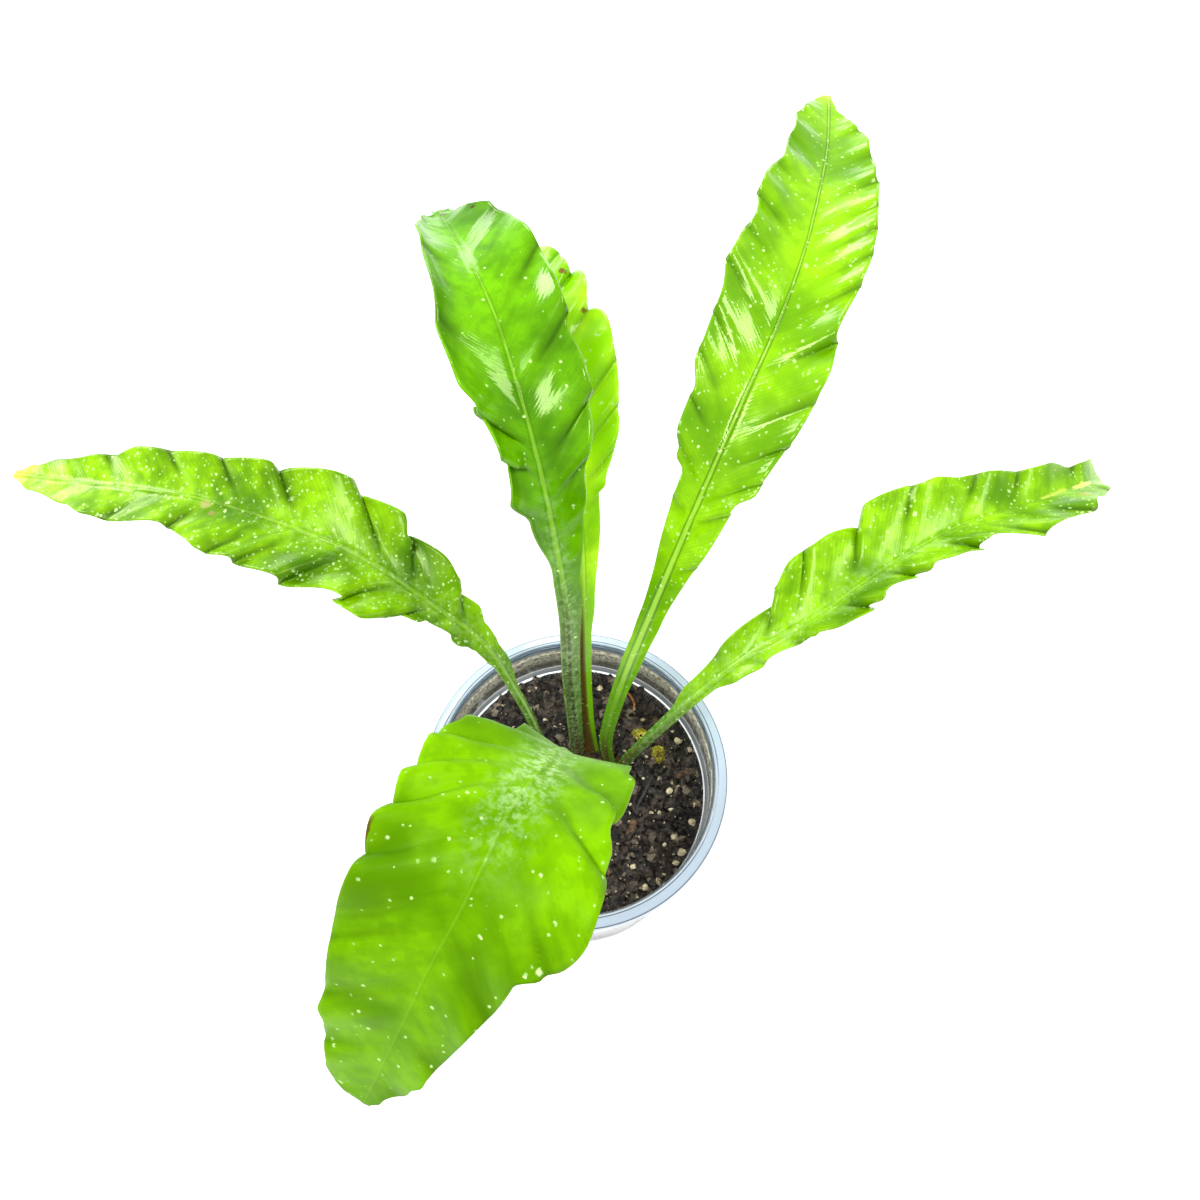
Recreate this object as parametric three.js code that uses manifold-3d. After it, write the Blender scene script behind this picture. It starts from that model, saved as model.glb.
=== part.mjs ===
// Potted bird's nest fern: six glossy fronds on one short rhizome, in a small clear plastic pot.
// Millimetres, +Z up. The origin is the centre of the pot's flat underside.

import * as THREE from "three";
import { mergeVertices } from "three/addons/utils/BufferGeometryUtils.js";
import Module from "manifold-3d";

const wasm = await Module();
wasm.setup();

// Driving dimensions of the pot
const pot = {
  height: 107,
  rimRadius: 52,
  baseRadius: 42,
  wall: 1.2,
  floor: 1.6,
  lipFall: 2,
  lipWidth: 4.5,
  skirtDrop: 6.5,
  skirtWall: 1,
  ledgeHeight: 84.6,
  ledgeRadius: 46.9,
  ledgeStep: 1.2,
  beadDrop: 3,
  segments: 48,
  drainHoles: 8,
  drainRadius: 3.4,
  drainCircle: 28,
};

// Driving dimensions of the potting mix and of the gap that touching pieces keep
const seatGap = 0.3;
const mix = {
  topHeight: 84,
  crownRise: 1.8,
  bump: 0.7,
  rings: 9,
  spokes: 40,
};

// The rhizome is a short upright knob that carries every frond
const rhizome = {
  centre: [5.6, 5.9],
  top: 90.5,
  foot: 70,
  radius: 10.5,
  neck: 8.6,
  footRadius: 5,
  segments: 18,
  socketDepth: 14,
};

// Blade and stalk thickness shared by all fronds
const blade = {
  thickness: 0.8,
  ribHalfWidth: 2.2,
  stalkRib: 2.4,
  tipRib: 0.3,
  stations: 36,
  acrossSteps: [-1, -0.72, -0.42, -0.14, 0.14, 0.42, 0.72, 1],
};

// Each frond: points along its midrib, then half-widths of its left and right half as
// [distance along the midrib, half-width]. Left and right are seen from base to tip.
// fold is how far each half lifts from flat in degrees. A ruffle has a height, a wavelength
// and a start along the midrib.
const fronds = {
  frond_left: {
    midrib: [
      [-3.5, 7, 86], [-10, 9.5, 101.5], [-18, 21, 121.5], [-30, 34.5, 143], [-47, 43.5, 158],
      [-68, 55, 168], [-92, 64, 171.5], [-119, 73.5, 169.5], [-146, 80.5, 163.5],
      [-168, 86.5, 157], [-189, 92.5, 150],
    ],
    left: [
      [0, 2], [30, 1.6], [52, 1.7], [60, 2], [63, 3], [69, 3.6], [73, 4.5], [77, 6.5],
      [83, 4.9], [91, 5.6], [95, 8.5], [98, 9], [102, 13], [112, 19], [117, 16], [124, 16],
      [133, 19], [160, 17.5], [168, 18], [178, 12], [193, 12.5], [213, 13], [222, 9],
      [240, 5.5], [250, 1.5],
    ],
    right: [
      [0, 2], [30, 1.6], [46, 1.8], [60, 4.4], [65, 4.2], [68, 4.8], [73, 5.4], [78, 8.5],
      [88, 8], [92, 11.5], [101, 15], [113, 12.5], [118, 18.5], [128, 17], [132, 21], [138, 21],
      [154, 16], [159, 17.5], [173, 15], [202, 14.5], [211, 11], [232, 7.5], [243, 4.5],
      [250, 1.5],
    ],
    fold: [8, 12],
    ruffle: { height: 3.6, length: 24, start: 50, phase: 0.4 },
    colour: "#7dc21d",
  },
  frond_back_left: {
    midrib: [
      [0.4, 11.1, 86], [0, 12.5, 120], [-1, 17.5, 160], [-1.5, 27.5, 192], [-5, 40.5, 222],
      [-9, 54, 239], [-14, 69.5, 249], [-19.5, 86, 253], [-26, 102, 251.5], [-33, 118.5, 244],
      [-38, 132.5, 236],
    ],
    left: [
      [0, 2.1], [30, 2.4], [93, 2.4], [118, 2.5], [124, 2.3], [146, 4.8], [156, 10.5], [162, 8],
      [167, 10], [180, 14.5], [186, 18.5], [233, 11.5], [247, 6.5], [252, 2],
    ],
    right: [
      [0, 2.1], [30, 2.5], [91, 3.5], [116, 5], [140, 8.5], [150, 11], [159, 13.5], [167, 16.5],
      [174, 18.5], [181, 18.5], [188, 17], [195, 18.5], [220, 18.5], [230, 17], [244, 14],
      [250, 8], [252, 3],
    ],
    fold: [16, 8],
    ruffle: { height: 2, length: 33, start: 125, phase: 1.9 },
    colour: "#6cae02",
  },
  frond_back: {
    midrib: [
      [6, 12.2, 86], [4, 15.5, 120], [3.2, 21.5, 155], [3, 32.5, 181], [2.5, 46.5, 202],
      [0, 63.5, 214], [-4, 84.5, 221], [-9, 103.5, 222], [-16, 121.5, 217], [-24, 139.5, 206],
    ],
    left: [
      [0, 2.1], [60, 2.2], [90, 2.7], [112, 4.5], [130, 7], [142, 11], [152, 12.5], [162, 16],
      [172, 15], [182, 17.5], [194, 15.5], [204, 13.5], [215, 9.5], [224, 5], [229, 1],
    ],
    right: [
      [0, 2.1], [55, 2.3], [85, 2.6], [99, 3.8], [135, 6.5], [138, 9], [145, 12.5], [154, 15.5],
      [169, 18], [181, 19], [187, 14.5], [198, 18], [202, 15], [213, 16], [219, 14], [224, 9],
      [229, 1.5],
    ],
    fold: [5, 10],
    ruffle: { height: 2.6, length: 24, start: 110, phase: 3.1 },
    colour: "#74b80a",
  },
  frond_back_right: {
    midrib: [
      [11.8, 8.9, 86], [10.5, 11.5, 115], [16, 18.5, 157], [24.5, 31, 187], [36.5, 52.5, 213],
      [47.5, 73.5, 229.5], [57, 93, 237], [65, 114.5, 239], [71, 136.5, 236], [77, 163.5, 227],
      [81, 192.5, 217],
    ],
    left: [
      [0, 2.1], [30, 2.3], [90, 2.7], [100, 3.1], [146, 7.5], [150, 11], [160, 14], [170, 14],
      [176, 17], [196, 18], [206, 20], [228, 16.5], [234, 17.5], [238, 17.5], [256, 13],
      [280, 11], [288, 8.5], [292, 6.5], [296, 4.5], [300, 2],
    ],
    right: [
      [0, 2.1], [30, 2.3], [60, 2.6], [84, 3.6], [100, 4.2], [144, 10], [150, 14.5],
      [174, 18.5], [186, 19.5], [191, 17.5], [199, 17], [221, 19], [249, 17], [254, 15.5],
      [272, 12.5], [276, 11], [280, 9], [284, 7], [288, 5.2], [292, 2.5], [300, 0.8],
    ],
    fold: [14, 10],
    ruffle: { height: 2.4, length: 25, start: 115, phase: 0.9 },
    colour: "#8bd94e",
  },
  frond_right: {
    midrib: [
      [13.2, 3, 86], [17, 6, 101], [25, 9.5, 119.5], [39.5, 17, 142], [56, 26.5, 155],
      [78, 37.5, 163], [100, 52.5, 166], [124, 66.5, 165], [147, 76, 160], [162, 84, 154],
      [172, 90, 148.5], [180, 95.5, 141],
    ],
    left: [
      [0, 2.1], [30, 1.8], [50, 2.2], [64, 4.9], [101, 10], [106, 14], [116, 19.5], [129, 19],
      [137, 15], [147, 20.5], [167, 17.5], [173, 15], [210, 10.5], [222, 7], [232, 7],
      [238, 7.5],
    ],
    right: [
      [0, 2.1], [30, 1.8], [54, 2], [70, 2.2], [80, 5], [86, 6], [94, 4.2], [104, 5.5],
      [110, 10], [117, 14], [124, 8.5], [132, 13.5], [141, 8], [150, 13.5], [157, 17],
      [164, 12], [171, 15], [178, 19.5], [186, 18], [192, 18.5], [199, 14], [207, 16.5],
      [216, 11], [224, 8.5], [232, 6.5], [238, 4],
    ],
    fold: [12, 38],
    ruffle: { height: 3.4, length: 22, start: 60, phase: 2.2 },
    colour: "#86c91a",
  },
  frond_front: {
    midrib: [
      [5.5, -0.1, 86], [4, -5, 130], [2, -13, 170], [0.5, -21.5, 210], [-1.5, -29.5, 244],
      [-5, -39.5, 263], [-10, -50, 274.5], [-14.5, -61, 278], [-20, -71, 273],
      [-27, -80.5, 262], [-35, -91.5, 244.5], [-47, -106, 214],
    ],
    left: [
      [0, 2.1], [30, 3], [70, 3], [100, 5], [125, 8], [144, 16], [175, 17], [179, 20],
      [184, 19], [190, 21], [196, 19], [201, 23], [218, 26], [228, 21], [232, 17], [278, 10.5],
      [282, 8.5], [295, 3.7], [299, 1.5],
    ],
    right: [
      [0, 2.1], [30, 3], [70, 3], [100, 6], [125, 12], [144, 18.5], [156, 15.5], [167, 18.5],
      [173, 16], [181, 20], [185, 23], [210, 22.5], [218, 25], [229, 23.5], [271, 18.5],
      [275, 16], [283, 14.5], [291, 12], [297, 8.5], [300, 4],
    ],
    fold: [2, 2],
    ruffle: { height: 2.6, length: 34, start: 95, phase: 1.2 },
    colour: "#82c002",
  },
};

// Grains and scraps on the mix: [x, y, half-length], placed where each one lies
const perliteGrains = [
  [36.8, 17.9, 1.9], [40.5, 14.8, 1.4], [18.4, 10.4, 1.4], [32.8, -0.8, 1.8], [42, -5.5, 1.4],
  [41, -11.6, 1.7], [34.3, -17.3, 1.6], [31.1, -19.8, 1.3], [36.6, -22.5, 2], [34.8, -26, 1.6],
  [19.8, -27.4, 1.5], [14.2, -19.7, 1.2], [23.8, -34.6, 1.8], [28.6, -32.4, 1.7],
  [20.6, -38, 1.3], [-34.8, 23.8, 2], [-20.7, 21.3, 1.9], [-16.9, 30, 1.4],
  [-11.7, 25.8, 1.3], [8.3, 38, 1.5],
];
const barkChips = [
  [39, 5.6, 3.6, 15], [19.5, -14, 3.4, 70], [10, -28, 3, 130], [-27, 12, 3.2, 40],
  [0.5, 31, 3.4, 10], [29, 24, 3, 100],
];
const mossTufts = [
  [23.1, 19.4, 4], [29.4, 12.6, 3.3],
];
const barkFibre = {
  radius: 0.45,
  points: [[17.5, 36.8, 0.8], [19.3, 34.6, 2.6], [20.8, 31.6, 2.4], [20.2, 28.6, 0.8]],
};
const darkRoot = {
  radius: 0.7,
  points: [[27.4, 5.4, 1.2], [25.4, 1.2, 1.9], [22.6, -4.2, 1.8], [20.4, -8.6, 1.1]],
};

// A closed three.js geometry as a manifold solid
function solidOf(geometry) {
  const bare = geometry.clone();
  bare.deleteAttribute("normal");
  bare.deleteAttribute("uv");
  const merged = mergeVertices(bare, 1e-4);
  const index = merged.index.array;
  const kept = [];
  for (let i = 0; i < index.length; i += 3) {
    const [a, b, c] = [index[i], index[i + 1], index[i + 2]];
    if (a !== b && b !== c && c !== a) kept.push(a, b, c);
  }
  return new wasm.Manifold(
    new wasm.Mesh({
      numProp: 3,
      vertProperties: new Float32Array(merged.attributes.position.array),
      triVerts: new Uint32Array(kept),
    }),
  );
}

// A manifold solid back as a three.js geometry
function geometryOf(solid) {
  const mesh = solid.getMesh();
  const geometry = new THREE.BufferGeometry();
  geometry.setAttribute("position", new THREE.BufferAttribute(mesh.vertProperties, 3));
  geometry.setIndex(new THREE.BufferAttribute(mesh.triVerts, 1));
  geometry.computeVertexNormals();
  return geometry;
}

function makeMesh(name, geometry, colour, roughness, metalness = 0) {
  const material = new THREE.MeshStandardMaterial({ color: colour, roughness, metalness });
  const mesh = new THREE.Mesh(geometry, material);
  mesh.name = name;
  return mesh;
}

// A profile of [radius, height] points turned about +Z
function turned(profile, segments) {
  const points = profile.map(([radius, height]) => new THREE.Vector2(radius, height));
  return new THREE.LatheGeometry(points, segments).rotateX(Math.PI / 2);
}

// Radius of the pot's inner wall below the ledge, at a height
function innerRadius(height) {
  const foot = pot.baseRadius - pot.wall;
  const top = pot.ledgeRadius - pot.ledgeStep;
  return THREE.MathUtils.mapLinear(height, 0, pot.ledgeHeight, foot, top);
}

function potProfile() {
  const lipTop = pot.height - pot.lipFall;
  const lipInner = pot.rimRadius - pot.lipWidth;
  const upperOuter = pot.ledgeRadius + pot.wall;
  const wallTop = lipTop - pot.wall - 0.4;
  const skirtFoot = lipTop - pot.skirtDrop;
  const skirtInner = pot.rimRadius - pot.skirtWall;
  const beadHeight = pot.height - pot.beadDrop;
  return [
    [0, 0],
    [pot.baseRadius - 1.5, 0],
    [pot.baseRadius, 1.2],
    [innerRadius(pot.ledgeHeight) + pot.wall, pot.ledgeHeight - 1.2],
    [upperOuter, pot.ledgeHeight + 1],
    [lipInner + pot.wall, wallTop],
    [skirtInner, wallTop - 0.4],
    [skirtInner, skirtFoot],
    [pot.rimRadius - 0.1, skirtFoot],
    [pot.rimRadius, lipTop - 0.5],
    [pot.rimRadius - 0.5, lipTop + 0.1],
    [lipInner + 1.4, pot.height - 0.2],
    [lipInner + 0.7, pot.height],
    [lipInner + 0.1, pot.height - 0.5],
    [lipInner, pot.height - 1.8],
    [lipInner - 0.6, beadHeight],
    [lipInner - 0.2, beadHeight - 0.9],
    [pot.ledgeRadius, pot.ledgeHeight + 1.4],
    [innerRadius(pot.ledgeHeight), pot.ledgeHeight],
    [innerRadius(pot.floor), pot.floor + 0.9],
    [innerRadius(pot.floor) - 0.9, pot.floor],
    [0, pot.floor],
  ];
}

function makePot() {
  let shell = solidOf(turned(potProfile(), pot.segments));
  for (let i = 0; i < pot.drainHoles; i += 1) {
    const angle = ((i + 0.5) / pot.drainHoles) * Math.PI * 2;
    const hole = new THREE.CylinderGeometry(pot.drainRadius, pot.drainRadius, pot.floor * 4, 20);
    hole.rotateX(Math.PI / 2);
    hole.translate(pot.drainCircle * Math.cos(angle), pot.drainCircle * Math.sin(angle), 0);
    shell = shell.subtract(solidOf(hole));
  }
  const mesh = makeMesh("pot", geometryOf(shell), "#cddfea", 0.12);
  mesh.material.transparent = true;
  mesh.material.opacity = 0.45;
  return mesh;
}

// Height of the mix's uneven surface
function mixHeight(x, y) {
  const rise = mix.crownRise * (1 - Math.hypot(x, y) / pot.ledgeRadius);
  const wave = Math.sin(x * 0.31 + y * 0.12) + Math.sin(y * 0.27 - x * 0.17 + 1.3);
  return mix.topHeight + rise + (mix.bump * wave) / 2;
}

function makeMix(rhizomeSolid) {
  const positions = [0, 0, mixHeight(0, 0)];
  const index = [];
  const footHeight = pot.floor + seatGap;
  const edgeRadius = (height) => innerRadius(height) - seatGap;
  for (let ring = 1; ring <= mix.rings; ring += 1) {
    for (let spoke = 0; spoke < mix.spokes; spoke += 1) {
      const angle = (spoke / mix.spokes) * Math.PI * 2;
      const radius = (ring / mix.rings) * edgeRadius(mix.topHeight);
      const x = radius * Math.cos(angle);
      const y = radius * Math.sin(angle);
      positions.push(x, y, mixHeight(x, y));
    }
  }
  const bottomRadius = edgeRadius(pot.floor) - 1;
  for (const [radius, height] of [[bottomRadius + 0.7, footHeight + 0.8], [bottomRadius, footHeight]]) {
    for (let spoke = 0; spoke < mix.spokes; spoke += 1) {
      const angle = (spoke / mix.spokes) * Math.PI * 2;
      positions.push(radius * Math.cos(angle), radius * Math.sin(angle), height);
    }
  }
  const lastRing = mix.rings + 1;
  const at = (ring, spoke) => 1 + ring * mix.spokes + (spoke % mix.spokes);
  for (let spoke = 0; spoke < mix.spokes; spoke += 1) {
    index.push(0, at(0, spoke), at(0, spoke + 1));
    for (let ring = 0; ring < lastRing; ring += 1) {
      index.push(at(ring, spoke), at(ring + 1, spoke), at(ring + 1, spoke + 1));
      index.push(at(ring, spoke), at(ring + 1, spoke + 1), at(ring, spoke + 1));
    }
  }
  const bottomCentre = positions.length / 3;
  positions.push(0, 0, footHeight);
  for (let spoke = 0; spoke < mix.spokes; spoke += 1) {
    index.push(bottomCentre, at(lastRing, spoke + 1), at(lastRing, spoke));
  }
  const geometry = new THREE.BufferGeometry();
  geometry.setAttribute("position", new THREE.Float32BufferAttribute(positions, 3));
  geometry.setIndex(index);
  return makeMesh("potting_mix", geometryOf(solidOf(geometry).subtract(rhizomeSolid)), "#332d27", 0.95);
}

// The rhizome's outline, grown outwards by a clearance
function rhizomeSolidOf(grow) {
  const { top, foot, radius, neck, footRadius, segments, centre } = rhizome;
  const profile = [
    [0, foot - grow],
    [footRadius + grow, foot - grow],
    [radius - 1 + grow, foot + 8],
    [radius + grow, top - 7],
    [neck + 1 + grow, top - 2.5],
    [neck - 2.5 + grow, top - 0.6 + grow],
    [0, top + grow],
  ];
  const geometry = turned(profile, segments);
  geometry.translate(centre[0], centre[1], 0);
  return solidOf(geometry);
}

function smoothBetween(list, along) {
  const next = list.findIndex(([place]) => place > along);
  if (next === -1) return list[list.length - 1][1];
  if (next === 0) return list[0][1];
  const [fromPlace, from] = list[next - 1];
  const [toPlace, to] = list[next];
  const share = (along - fromPlace) / (toPlace - fromPlace);
  return from + (to - from) * share * share * (3 - 2 * share);
}

// Across and normal directions of a frond at a place along its midrib
function frameAt(curve, share) {
  const tangent = curve.getTangentAt(share);
  const heading = curve.points[curve.points.length - 1].clone().sub(curve.points[0]).setZ(0).normalize();
  const side = new THREE.Vector3().crossVectors(heading, new THREE.Vector3(0, 0, 1));
  const across = side.addScaledVector(tangent, -side.dot(tangent)).normalize();
  const normal = new THREE.Vector3().crossVectors(across, tangent);
  return { across, normal };
}

function ruffleAt(ruffle, along, length, outward, half, sideSign) {
  const grown = THREE.MathUtils.smoothstep(along, ruffle.start, ruffle.start + 45);
  const fade = 1 - 0.6 * THREE.MathUtils.smoothstep(along, length * 0.8, length);
  const turn = ((along - 0.5 * half * outward) / ruffle.length) * Math.PI * 2 + ruffle.phase;
  const wave = Math.sin(turn + sideSign * 0.9) + 0.45 * Math.sin(turn * 1.73 + sideSign * 2);
  return ruffle.height * grown * fade * Math.pow(outward, 1.7) * wave;
}

// A point on one face of a frond. step runs from -1 at the left margin to 1 at the right one,
// and face is 1 for the upper face and -1 for the lower one.
function frondPoint(frond, curve, length, along, step, face, grow) {
  const share = along / length;
  const { across, normal } = frameAt(curve, share);
  const sideSign = Math.sign(step);
  const outward = Math.abs(step);
  const half = smoothBetween(step < 0 ? frond.left : frond.right, along) + grow;
  const widening = THREE.MathUtils.smoothstep(half, 3, 9);
  const fold = THREE.MathUtils.degToRad(frond.fold[step < 0 ? 0 : 1]) * widening;
  const reach = half * outward;
  const faceNormal = normal
    .clone()
    .multiplyScalar(Math.cos(fold))
    .addScaledVector(across, -sideSign * Math.sin(fold));
  const wave = ruffleAt(frond.ruffle, along, length, outward, half, sideSign);
  const ribHeight = THREE.MathUtils.lerp(blade.stalkRib, blade.tipRib, Math.pow(share, 0.6));
  const rib = ribHeight * Math.exp(-Math.pow(reach / blade.ribHalfWidth, 2));
  const lift = wave + face * (blade.thickness / 2 + rib / 2 + grow);
  return curve
    .getPointAt(share)
    .addScaledVector(across, sideSign * reach * Math.cos(fold))
    .addScaledVector(normal, reach * Math.sin(fold))
    .addScaledVector(faceNormal, lift);
}

// A frond's closed solid, between two distances along its midrib
function frondSolid(frond, from = seatGap, until = Infinity, grow = 0) {
  const curve = new THREE.CatmullRomCurve3(
    frond.midrib.map((point) => new THREE.Vector3(...point)),
    false,
    "catmullrom",
    0.5,
  );
  curve.arcLengthDivisions = 400;
  const length = curve.getLength();
  const reach = Math.min(until, length);
  const stations = reach < length ? 4 : blade.stations;
  const loop = [];
  for (const step of blade.acrossSteps) loop.push([step, 1]);
  for (const step of [...blade.acrossSteps].reverse()) loop.push([step, -1]);
  const positions = [];
  for (let i = 0; i <= stations; i += 1) {
    for (const [step, face] of loop) {
      const along = THREE.MathUtils.lerp(from, reach, i / stations);
      const point = frondPoint(frond, curve, length, along, step, face, grow);
      positions.push(point.x, point.y, point.z);
    }
  }
  const around = loop.length;
  const columns = blade.acrossSteps.length;
  const index = [];
  for (let i = 0; i < stations; i += 1) {
    for (let k = 0; k < around; k += 1) {
      const a = i * around + k;
      const b = i * around + ((k + 1) % around);
      // Both faces split their quads the same way, so a thin twisted blade never crosses itself
      if (k < columns) index.push(a, b, b + around, a, b + around, a + around);
      else index.push(a, b, a + around, b, b + around, a + around);
    }
  }
  const last = stations * around;
  for (let k = 0; k < columns - 1; k += 1) {
    const under = around - 1 - k;
    index.push(k, under, under - 1, k, under - 1, k + 1);
    index.push(last + k, last + under - 1, last + under, last + k, last + k + 1, last + under - 1);
  }
  const geometry = new THREE.BufferGeometry();
  geometry.setAttribute("position", new THREE.Float32BufferAttribute(positions, 3));
  geometry.setIndex(index);
  return solidOf(geometry);
}

// An uneven lump of the given half-lengths, from a sphere whose radius wanders
function lump([x, y, z], [longHalf, wideHalf, highHalf], seed, turn = 0, detail = 1) {
  const geometry = new THREE.IcosahedronGeometry(1, detail);
  const position = geometry.attributes.position;
  for (let i = 0; i < position.count; i += 1) {
    const [px, py, pz] = [position.getX(i), position.getY(i), position.getZ(i)];
    const wander = 1 + 0.13 * Math.sin(4.1 * px + seed) + 0.11 * Math.sin(3.7 * py - 2 * pz + seed * 2.3);
    position.setXYZ(i, px * wander, py * wander, pz * wander);
  }
  geometry.scale(longHalf, wideHalf, highHalf);
  geometry.rotateZ(turn);
  geometry.translate(x, y, z);
  return geometryOf(solidOf(geometry));
}

function makeGrains(group) {
  perliteGrains.forEach(([x, y, half], i) => {
    const size = [half, half * 0.8, half * 0.7];
    const place = [x, y, mixHeight(x, y) + half * 0.7 * 1.2 + seatGap];
    const name = `perlite_${String(i + 1).padStart(2, "0")}`;
    group.add(makeMesh(name, lump(place, size, i * 1.7, i), "#efeeda", 0.85));
  });
  barkChips.forEach(([x, y, half, degrees], i) => {
    const size = [half, half * 0.45, 0.9];
    const place = [x, y, mixHeight(x, y) + 1.2 + seatGap];
    const turn = THREE.MathUtils.degToRad(degrees);
    group.add(makeMesh(`bark_chip_${i + 1}`, lump(place, size, i * 2.3, turn), "#4a3a2c", 0.9));
  });
  mossTufts.forEach(([x, y, half], i) => {
    const size = [half, half * 0.8, 1.5];
    const place = [x, y, mixHeight(x, y) + 2.1 + seatGap];
    group.add(makeMesh(`moss_tuft_${i + 1}`, lump(place, size, i * 3.1 + 1, 0.4 + i), "#bcc060", 0.9));
  });
}

// A thin strand lying on the mix, through [x, y, height above the mix] points
function strand({ radius, points }) {
  const path = new THREE.CatmullRomCurve3(
    points.map(([x, y, rise]) => new THREE.Vector3(x, y, mixHeight(x, y) + rise)),
  );
  const section = new THREE.Shape().absarc(0, 0, radius, 0, Math.PI * 2);
  return new THREE.ExtrudeGeometry(section, { steps: 10, curveSegments: 4, extrudePath: path });
}

function buildFern() {
  const group = new THREE.Group();
  group.add(makePot());
  group.add(makeMix(rhizomeSolidOf(seatGap)));
  let knob = rhizomeSolidOf(0);
  for (const [name, frond] of Object.entries(fronds)) {
    knob = knob.subtract(frondSolid(frond, 0, rhizome.socketDepth, seatGap));
    group.add(makeMesh(name, geometryOf(frondSolid(frond)), frond.colour, 0.35));
  }
  group.add(makeMesh("rhizome", geometryOf(knob), "#3b2a1c", 0.9));
  makeGrains(group);
  group.add(makeMesh("bark_fibre", geometryOf(solidOf(strand(barkFibre))), "#a8672f", 0.8));
  group.add(makeMesh("dark_root", geometryOf(solidOf(strand(darkRoot))), "#1d1a18", 0.7));
  return group;
}

export default buildFern();
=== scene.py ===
# Potted bird's nest fern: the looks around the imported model, in metres, +Z up
import math
import random

import bpy
from mathutils import Matrix, Vector, noise


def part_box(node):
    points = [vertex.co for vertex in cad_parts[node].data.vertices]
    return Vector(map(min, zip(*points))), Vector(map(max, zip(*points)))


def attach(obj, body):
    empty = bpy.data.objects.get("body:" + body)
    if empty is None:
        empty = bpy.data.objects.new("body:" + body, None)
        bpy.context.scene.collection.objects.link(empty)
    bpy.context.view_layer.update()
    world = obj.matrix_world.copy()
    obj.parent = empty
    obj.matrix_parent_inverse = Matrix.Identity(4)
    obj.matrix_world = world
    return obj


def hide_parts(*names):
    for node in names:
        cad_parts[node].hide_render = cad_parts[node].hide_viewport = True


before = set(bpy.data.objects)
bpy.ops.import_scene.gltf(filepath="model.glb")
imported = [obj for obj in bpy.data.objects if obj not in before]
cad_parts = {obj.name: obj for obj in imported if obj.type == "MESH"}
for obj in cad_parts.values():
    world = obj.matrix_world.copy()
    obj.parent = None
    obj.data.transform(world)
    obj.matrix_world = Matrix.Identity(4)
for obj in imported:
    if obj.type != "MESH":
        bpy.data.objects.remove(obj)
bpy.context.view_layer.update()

mm = 0.001


# Small helpers

def deselectAll():
    if bpy.context.mode != "OBJECT":
        bpy.ops.object.mode_set(mode="OBJECT")
    bpy.ops.object.select_all(action="DESELECT")
    bpy.context.view_layer.objects.active = None


def pick(piece):
    deselectAll()
    piece.select_set(True)
    bpy.context.view_layer.objects.active = piece


def settle(piece):  # puts the place, turn and size into the mesh
    pick(piece)
    bpy.ops.object.transform_apply(location=True, rotation=True, scale=True)


def applyModifiers(piece):
    pick(piece)
    for modifier in list(piece.modifiers):
        bpy.ops.object.modifier_apply(modifier=modifier.name)


def startPiece(name):  # names the primitive that was just added
    piece = bpy.context.object
    piece.name = name
    piece.data.name = name
    return piece


def finishPiece(piece, materials, slot, *nodes):
    piece.data.materials.clear()
    for material in materials:
        piece.data.materials.append(material)
    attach(piece, "root")
    if nodes:
        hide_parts(*nodes)


def faceOutward(piece):
    pick(piece)
    bpy.ops.object.mode_set(mode="EDIT")
    bpy.ops.mesh.select_all(action="SELECT")
    bpy.ops.mesh.normals_make_consistent(inside=False)
    bpy.ops.object.mode_set(mode="OBJECT")


def lathe(name, profile, steps, centre):  # profile as (radius, height) in millimetres
    deselectAll()
    bpy.ops.mesh.primitive_circle_add(
        vertices=steps, radius=profile[0][0] * mm, fill_type="NGON",
        location=centre + Vector((0, 0, profile[0][1] * mm)),
    )
    piece = startPiece(name)
    settle(piece)
    bpy.ops.object.mode_set(mode="EDIT")
    bpy.ops.mesh.select_all(action="SELECT")
    for (fromRadius, fromHeight), (radius, height) in zip(profile, profile[1:]):
        climb = (0, 0, (height - fromHeight) * mm)
        bpy.ops.mesh.extrude_region_move(TRANSFORM_OT_translate={"value": climb})
        scale = radius / fromRadius
        bpy.ops.transform.resize(value=(scale, scale, 1), center_override=(centre.x, centre.y, height * mm))
    bpy.ops.object.mode_set(mode="OBJECT")
    faceOutward(piece)
    return piece


def selectLevelFaces(piece, way):  # in edit mode, the faces that look up (way 1) or down (way -1)
    bpy.ops.object.mode_set(mode="EDIT")
    bpy.ops.mesh.select_mode(type="FACE")
    bpy.ops.mesh.select_all(action="DESELECT")
    bpy.ops.object.mode_set(mode="OBJECT")
    for face in piece.data.polygons:
        face.select = face.normal.z * way > 0.9
    bpy.ops.object.mode_set(mode="EDIT")


def cutUprightEdges(piece, least, cuts):  # only the edges that rise by more than least
    bpy.ops.object.mode_set(mode="EDIT")
    bpy.ops.mesh.select_mode(type="EDGE")
    bpy.ops.mesh.select_all(action="DESELECT")
    bpy.ops.object.mode_set(mode="OBJECT")
    for edge in piece.data.edges:
        first, second = (piece.data.vertices[index].co.z for index in edge.vertices)
        edge.select = abs(first - second) > least
    bpy.ops.object.mode_set(mode="EDIT")
    bpy.ops.mesh.subdivide(number_cuts=cuts)
    bpy.ops.object.mode_set(mode="OBJECT")


def smoothStep(value, low, high):
    share = min(1.0, max(0.0, (value - low) / (high - low)))
    return share * share * (3 - 2 * share)


def smoothBetween(pairs, along):
    if along <= pairs[0][0]:
        return pairs[0][1]
    for (fromPlace, fromValue), (toPlace, toValue) in zip(pairs, pairs[1:]):
        if along < toPlace:
            return fromValue + (toValue - fromValue) * smoothStep(along, fromPlace, toPlace)
    return pairs[-1][1]


# Material helpers

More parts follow.
